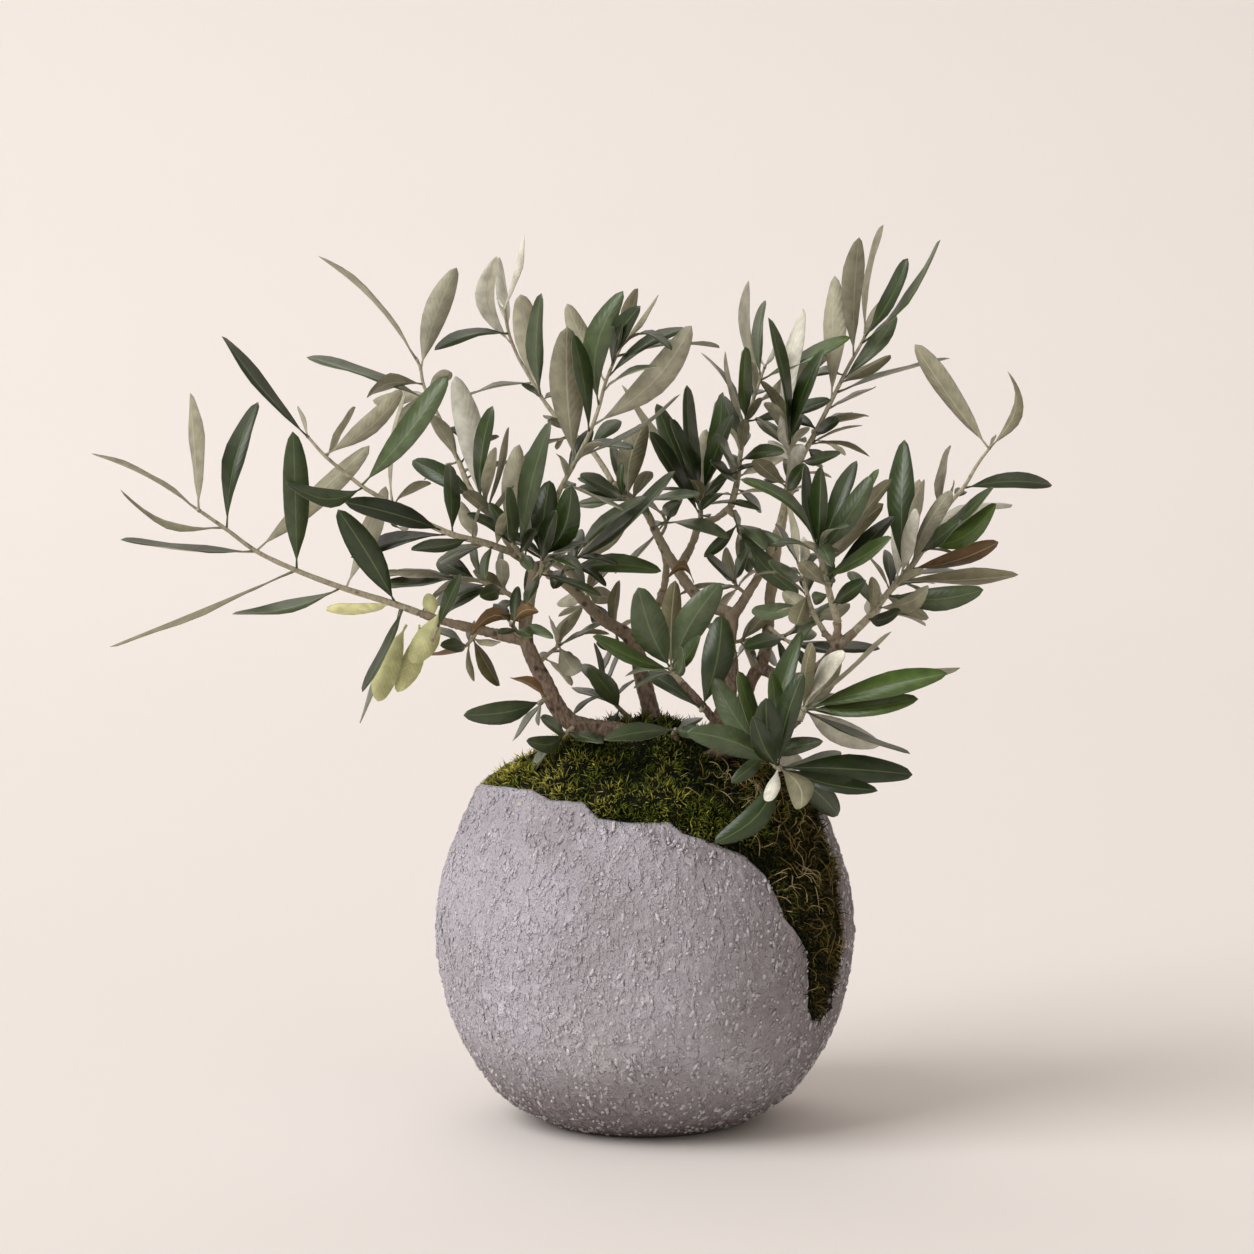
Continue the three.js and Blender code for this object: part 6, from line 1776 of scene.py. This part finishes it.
@dataclass
class Sprays:
    """The leafy shoots: a young stem each, with its leaves.

    A leaf's root stands free of the stem's foot and is sunk below its end. The width rule gives the
    least width, what each millimetre of length adds, and the most. The length rule is for a leaf that
    the solid lacks: it is at least a share of what shows, and else adds up to an extra to reach the
    usual length.
    """

    shoots: dict
    sprouts: dict
    form: BladeForm
    free: float = 5.5
    sunk: float = 1.6
    tolerance: float = 0.35
    width_rule: tuple = (2.2, 0.19, 12.5)
    length_rule: tuple = (1.03, 11, 40)
    depth: float = 8
    sprout_length: tuple = (15, 31)
    sprout_lean: tuple = (35, 78)
    moss_height: float = 185
    moss_dread: float = 0.12
    tries: int = 14
    silver_up: float = 0.4
    stem_sides: int = 8
    stem_pitch: float = 2.2
    seed: int = 31

    def build(self, finishes: Sequence[Material]) -> None:
        """Builds every shoot in the place of its solid.

        Args:
            finishes: the leaf's upper skin, its underside and the young bark.
        """
        template = self.form.template()
        flat = np.array([vert.co for vert in template.vertices])
        is_top = flat[:, 2] > flat[:, 2].max() - TOP_MARGIN
        self.lattice = (self.form.placed(flat[:, 1] + 0.5), 2 * flat[:, 0], is_top)
        shoots = [self.traced(name, *shoot) for name, shoot in self.shoots.items()]
        taken = [centre for shoot in shoots for centre in self.middles(shoot)]
        for shoot in shoots:
            self.add_sprouts(shoot, taken)
        for shoot in shoots:
            node = f"spray_{shoot.name}"
            bm = bmesh.new()
            bm.from_mesh(repeated(node, template, np.array(shoot.places), np.array(shoot.colours)))
            self.add_stem(bm, shoot)
            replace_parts(finished(f"shoot_{shoot.name}", mesh_from(bm, node), finishes), node)
        self.build_old_leaves(template, finishes)

    def middles(self, shoot: Shoot) -> list[ndarray]:
        """Finds where a shoot's leaves are.

        Args:
            shoot: the shoot.

        Returns:
            Points along the middle of each of its leaves.
        """
        share, side, _ = self.lattice
        chosen = (np.abs(side) < 0.1) & (share > 0.25)
        return [point for places in shoot.places for point in places[chosen]]

    def traced(self, name: str, girth: tuple, stem: Sequence[Point], rows: Sequence) -> Shoot:
        """Grows the leaves that the front view shows.

        Args:
            name: the shoot's name.
            girth: the stem's radius at its two ends.
            stem: the stem's points.
            rows: the rows of its leaves.

        Returns:
            The shoot with those leaves.
        """
        draw = random.Random(self.seed + len(name) * 7 + len(rows))
        course = Course.seen(stem)
        shoot = Shoot(name, course, girth, [], [], [])
        corners = np.array([vert.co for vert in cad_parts[f"spray_{name}"].data.vertices]) / MM
        seen = EYE.seen(corners)
        low, high = self.free / course.length, 1 - self.sunk / course.length
        for index, row in enumerate(LeafRow(*row) for row in rows):
            root = Vector(course.at(min(high, max(low, row.place))))
            miss = np.hypot(seen[:, 0] - row.x, seen[:, 1] - row.height)
            near = miss.min() < self.tolerance
            tip = Vector(corners[miss.argmin()]) if near else self.free_tip(root, row, index)
            self.add_leaf(shoot, root, tip, row, draw)
        return shoot

    def free_tip(self, root: Vector, row: LeafRow, index: int) -> Vector:
        """Places the tip of a leaf that the solid lacks, at a depth that gives it its usual length.

        Args:
            root: the leaf's root.
            row: its row.
            index: its number on the shoot, as every other leaf turns to the back.

        Returns:
            The tip.
        """
        share, extra, usual = self.length_rule
        front = -root.y
        seen = (EYE.place(row.x, row.height, front) - root).length
        length = max(share * seen, min(seen + extra, usual))
        depth = max(self.depth, math.sqrt(max(0, length ** 2 - seen ** 2))) * (-1 if index % 2 else 1)
        return EYE.place(row.x, row.height, front + depth)

    def add_leaf(self, shoot: Shoot, root: Vector, tip: Vector, row: LeafRow, draw: random.Random) -> None:
        """Adds a leaf that shows a stated width and face to the front.

        Args:
            shoot: the shoot that it grows on.
            root: the root.
            tip: the tip.
            row: the leaf's row.
            draw: the seeded draw.
        """
        axis = (tip - root).normalized()
        width = max(row.seen_width, self.usual_width((tip - root).length))
        roll = math.acos(min(1.0, row.seen_width / width))
        facing = EYE.towards.cross(axis).normalized()
        flat = facing * (1 if row.face.upper else -1)
        out = axis.cross(flat)
        rolled = [Matrix.Rotation(angle, 3, axis) @ flat for angle in (roll, -roll)]
        rolled.sort(key=lambda direction: axis.cross(direction).z)
        silver_up = row.face is Face.PALE or (row.face is Face.SILVER and draw.random() < self.silver_up)
        across = rolled[0 if silver_up else 1]
        bend = facing * row.bow + out * (self.form.arch * (tip - root).length)
        shoot.roots.append(root)
        shoot.places.append(self.blade(root, tip, width, across, bend, draw))
        shoot.colours.append(self.tints(row.face, draw))

    def usual_width(self, length: float) -> float:
        """The width that an olive leaf of a length usually has."""
        least, per_length, most = self.width_rule
        return min(most, least + per_length * length)

    def add_sprouts(self, shoot: Shoot, taken: list[ndarray]) -> None:
        """Adds small leaves low on a shoot, each where it stands most clear of the others.

        Args:
            shoot: the shoot that they grow on.
            taken: points along the leaves that are there already, to which it adds its own.
        """
        count, reach = self.sprouts.get(shoot.name, (0, 1))
        draw = random.Random(self.seed + 3 * len(shoot.name) + ord(shoot.name[0]))
        for _ in range(count):
            share = draw.uniform(min(0.5, 4 / shoot.course.length), reach)
            before, here, after = (
                shoot.course.at(share + shift) for shift in (max(-share, -0.04), 0, min(1 - share, 0.04))
            )
            root, along = Vector(here), Vector(after - before).normalized()
            length = draw.uniform(*self.sprout_length)
            tips = [self.sprout_tip(root, along, length, draw) for _ in range(self.tries)]
            others = np.array(taken)
            tip = max(tips, key=lambda place: self.clearance(root, place, others))
            axis = (tip - root).normalized()
            across = (Vector((0, 0, 0.6)) + along).cross(axis).normalized()
            width = self.usual_width(length) * draw.uniform(0.8, 1.05)
            bend = axis.cross(across) * (self.form.arch * length * draw.uniform(0.5, 2.2))
            shoot.roots.append(root)
            shoot.places.append(self.blade(root, tip, width, across, bend, draw))
            shoot.colours.append(self.tints(Face.GREEN, draw))
            taken.extend(np.array(root.lerp(tip, part)) for part in (0.4, 0.6, 0.8, 1))

    def sprout_tip(self, root: Vector, along: Vector, length: float, draw: random.Random) -> Vector:
        """Draws where a small leaf might end.

        Args:
            root: its root.
            along: the direction of the stem there.
            length: its length.
            draw: the seeded draw.

        Returns:
            The tip.
        """
        lean = math.radians(draw.uniform(*self.sprout_lean))
        turn = Matrix.Rotation(draw.uniform(0, math.tau), 3, along)
        aside = turn @ along.orthogonal().normalized()
        return root + (along * math.cos(lean) + aside * math.sin(lean)) * length

    def clearance(self, root: Vector, tip: Vector, others: ndarray) -> float:
        """How far a leaf is from others' points, less where it would hang towards the moss."""
        gaps = [np.min(np.linalg.norm(others - np.array(root.lerp(tip, part)), axis=1)) for part in (0.6, 1)]
        return float(min(gaps)) + self.moss_dread * min(0, tip.z - self.moss_height)

    def build_old_leaves(self, template: Mesh, finishes: Sequence[Material]) -> None:
        """Builds the yellowed and the withered leaves that grow straight from the older wood.

        Args:
            template: the flat blade.
            finishes: the leaf's skins and the young bark.
        """
        draw = random.Random(self.seed)
        group = Shoot("old", Course.seen(((0, 0, 0), (1, 0, 0))), (0, 0), [], [], [])
        for root, tip, width, face, bow in OLD_LEAVES:
            row = LeafRow(0, tip[0], tip[1], width, face, bow)
            self.add_leaf(group, EYE.place(*root), EYE.place(*tip), row, draw)
        mesh = repeated("old_leaves", template, np.array(group.places), np.array(group.colours))
        finished("old_leaves", mesh, finishes)

    def add_stem(self, bm: BMesh, shoot: Shoot) -> None:
        """Adds the shoot's stem, with a swelling where each leaf grows out of it.

        Args:
            bm: the mesh that holds the leaves.
            shoot: the shoot.
        """
        before = set(bm.faces)
        add_round_stem(
            bm, shoot.course, shoot.girth, self.stem_sides, self.stem_pitch,
            lambda point: 1 + 0.1 * noise.noise(point / 4),
        )
        for root in shoot.roots:
            ball = bmesh.ops.create_icosphere(bm, subdivisions=1, radius=shoot.girth[1] * 1.25 + 0.15)
            bmesh.ops.translate(bm, verts=ball["verts"], vec=root)
        for face in set(bm.faces) - before:
            face.material_index = 2

    def blade(
        self, root: Vector, tip: Vector, width: float, across: Vector, bend: Vector, draw: random.Random,
    ) -> ndarray:
        """Shapes one leaf from its root to its tip.

        Args:
            root: the root.
            tip: the tip.
            width: the blade's greatest width.
            across: the direction across the blade.
            bend: how far and which way its middle bends off the straight line.
            draw: the seeded draw.

        Returns:
            The places of the blade's vertices.
        """
        share, side, is_top = self.lattice
        form = self.form
        axis, length = (tip - root).normalized(), (tip - root).length
        up = axis.cross(across)
        twist = math.radians(draw.uniform(-form.twist, form.twist)) * (share - 0.5)
        turned_across = np.outer(np.cos(twist), across) + np.outer(np.sin(twist), up)
        turned_up = np.outer(np.cos(twist), up) - np.outer(np.sin(twist), across)
        centre = np.array(root) + np.outer(share * length, axis) + np.outer(np.sin(math.pi * share), bend)
        broad = form.breadth(share) * width / 2
        stalk = 1 - step(form.stalk * 0.7, form.stalk * 2.2, share)
        half = np.maximum(np.maximum(broad, stalk * form.stalk_radius), form.edge)
        ripple = np.sin(share * draw.uniform(7, 11) + draw.uniform(0, 6)) * np.abs(side) * side
        wavy = form.wave * width * ripple
        lift = broad * form.fold * np.abs(side) ** 1.2 + wavy * np.minimum(1, broad / width * 2)
        thin = np.maximum(0.35, np.minimum(1, broad / width * 4))
        thick = form.thickness * (1 - 0.55 * side ** 2) * thin
        thick = thick + stalk * (form.stalk_radius * np.sqrt(np.maximum(0, 1 - side ** 2)) - thick)
        rib = form.rib * np.maximum(0, 1 - np.abs(side) * 2) * step(0.97, 0.5, share)
        layer = np.where(is_top, thick - 0.6 * rib, -thick - rib)
        return centre + turned_across * (side * half)[:, None] + turned_up * (lift + layer)[:, None]

    def tints(self, face: Face, draw: random.Random) -> ndarray:
        """Chooses the colours of one leaf's two faces, each leaf a little different.

        Args:
            face: the face that the front view shows.
            draw: the seeded draw.

        Returns:
            One colour a vertex, in linear light.
        """
        is_top = self.lattice[2]
        above = face if face.upper or face is Face.BROWN else Face.GREEN
        below = Face.SILVER if face.upper else face
        top = above.light * draw.uniform(0.8, 1.2)
        if above is Face.GREEN:
            top = top * draw.uniform(0.65, 1.5)
            # Painted sheen: some green faces lean towards a grey-green reflection of the light.
            top = top + (Face.BLOOM.light - top) * 0.75 * draw.uniform(0, 1) ** 3
        under = below.light * draw.uniform(0.75, 1.3)
        if below is Face.SILVER:
            # Painted shade: silver undersides lean towards a shaded olive.
            under = under + (Face.OLIVE.light - under) * draw.uniform(0, 1) ** 1.2
        return np.where(is_top[:, None], top, under)


@dataclass
class Studio:
    """The photographer's corner: pale paper, soft light from the left and the camera.

    Its lengths are in metres. A light has its place, the length of its side, its power in watts and
    its colour.
    """

    paper: str = "#f1ebe7"
    floor_front: float = -5.0
    floor_back: float = 1.7
    sweep: float = 0.9
    height: float = 3.2
    width: float = 12
    lights: tuple = (
        ("key", (-5.9, -3.4, 6.0), 6.4, 595, "#fefeff"),
        ("floor", (-0.4, 2.1, 2.7), 1.8, 9, "#fffdfb"),
        ("fill", (2.6, -3.6, 2.2), 2.6, 8, "#fff8f4"),
    )
    aim: Point = (0, 0, 0.2)
    room: str = "#fdf5ec"
    room_strength: float = 0.42
    sensor: float = 36

    def build(self) -> None:
        """Builds the background, the lights and the camera."""
        self.background()
        for light in self.lights:
            self.add_light(*light)
        world = bpy.data.worlds.new("room")
        world.use_nodes = True
        world.node_tree.nodes["Background"].inputs["Color"].default_value = linear(self.room)
        world.node_tree.nodes["Background"].inputs["Strength"].default_value = self.room_strength
        bpy.context.scene.world = world
        bpy.context.scene.view_settings.view_transform = "Standard"
        self.camera()

    def background(self) -> None:
        """Lays a sheet of paper that runs along the floor and curves up behind."""
        bm = bmesh.new()
        bmesh.ops.create_grid(bm, x_segments=8, y_segments=48, size=0.5)
        flat = self.floor_back - self.floor_front
        curve = self.sweep * math.pi / 2
        for vert in bm.verts:
            run = (vert.co.y + 0.5) * (flat + curve + self.height)
            turn = min(max(run - flat, 0) / self.sweep, math.pi / 2)
            rest = max(run - flat - curve, 0)
            y = self.floor_front + min(run, flat) + self.sweep * math.sin(turn)
            vert.co = (vert.co.x * self.width, y, self.sweep * (1 - math.cos(turn)) + rest)
        mesh = mesh_from(bm, "paper")
        mesh.materials.append(Plain("background_paper", self.paper).material())
        mesh.shade_smooth()
        sheet = bpy.data.objects.new("paper", mesh)
        bpy.context.scene.collection.objects.link(sheet)

    def add_light(self, name: str, place: Point, size: float, power: float, colour: str) -> None:
        """Adds a square soft light that looks at the tree.

        Args:
            name: the light's name.
            place: where it stands.
            size: the length of its side.
            power: its power in watts.
            colour: its colour.
        """
        light = bpy.data.lights.new(name, "AREA")
        light.size = size
        light.energy = power
        light.color = linear(colour)[:3]
        lamp = bpy.data.objects.new(name, light)
        lamp.location = place
        lamp.rotation_euler = (Vector(self.aim) - Vector(place)).to_track_quat("-Z", "Y").to_euler()
        bpy.context.scene.collection.objects.link(lamp)

    def camera(self) -> None:
        """Sets up the camera where the photograph's eye is."""
        lens = bpy.data.cameras.new("camera")
        lens.sensor_width = self.sensor
        lens.lens = self.sensor * EYE.distance / EYE.view_width
        camera = bpy.data.objects.new("camera", lens)
        camera.location = (Vector(EYE.look) + EYE.towards * EYE.distance) * MM
        camera.rotation_euler = (-EYE.towards).to_track_quat("-Z", "Y").to_euler()
        bpy.context.scene.collection.objects.link(camera)
        bpy.context.scene.camera = camera


def main() -> None:
    """Builds the studio and the bonsai, piece by piece."""
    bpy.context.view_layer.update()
    Studio().build()
    form = PotForm()
    Pot(form).build(Stoneware().material())
    Moss(form).build(Grown("living_moss", 0.8, 2.5).material(), Grown("dry_fibre", 0.7, 3).material())
    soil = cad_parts["soil"].data.materials
    soil.clear()
    soil.append(Bark("#3a2c22", "#1d1510", "#120c08", 3, "damp_soil").material())
    bark = Bark("#907d6d", "#5a493c", "#352a22", 1.3, "olive_bark", young_from=188)
    WoodyStems(LIMBS).build(bark.material())
    finishes = [
        LeafSkin("waxy_leaf", 0.38, 0.22, "#8c9a68", 0.36, 0.2).material(),
        LeafSkin("scaly_underside", 0.62, 0, "#d0ceb2", 0.5, 0.35).material(),
        Bark("#c2baa3", "#a0967c", "#7a6e58", 1.1, "young_bark").material(),
    ]
    Sprays(SHOOTS, SPROUTS, BladeForm()).build(finishes)


if __name__ == "__main__":
    logging.basicConfig(level=logging.INFO, format="%(name)s %(message)s")
    main()
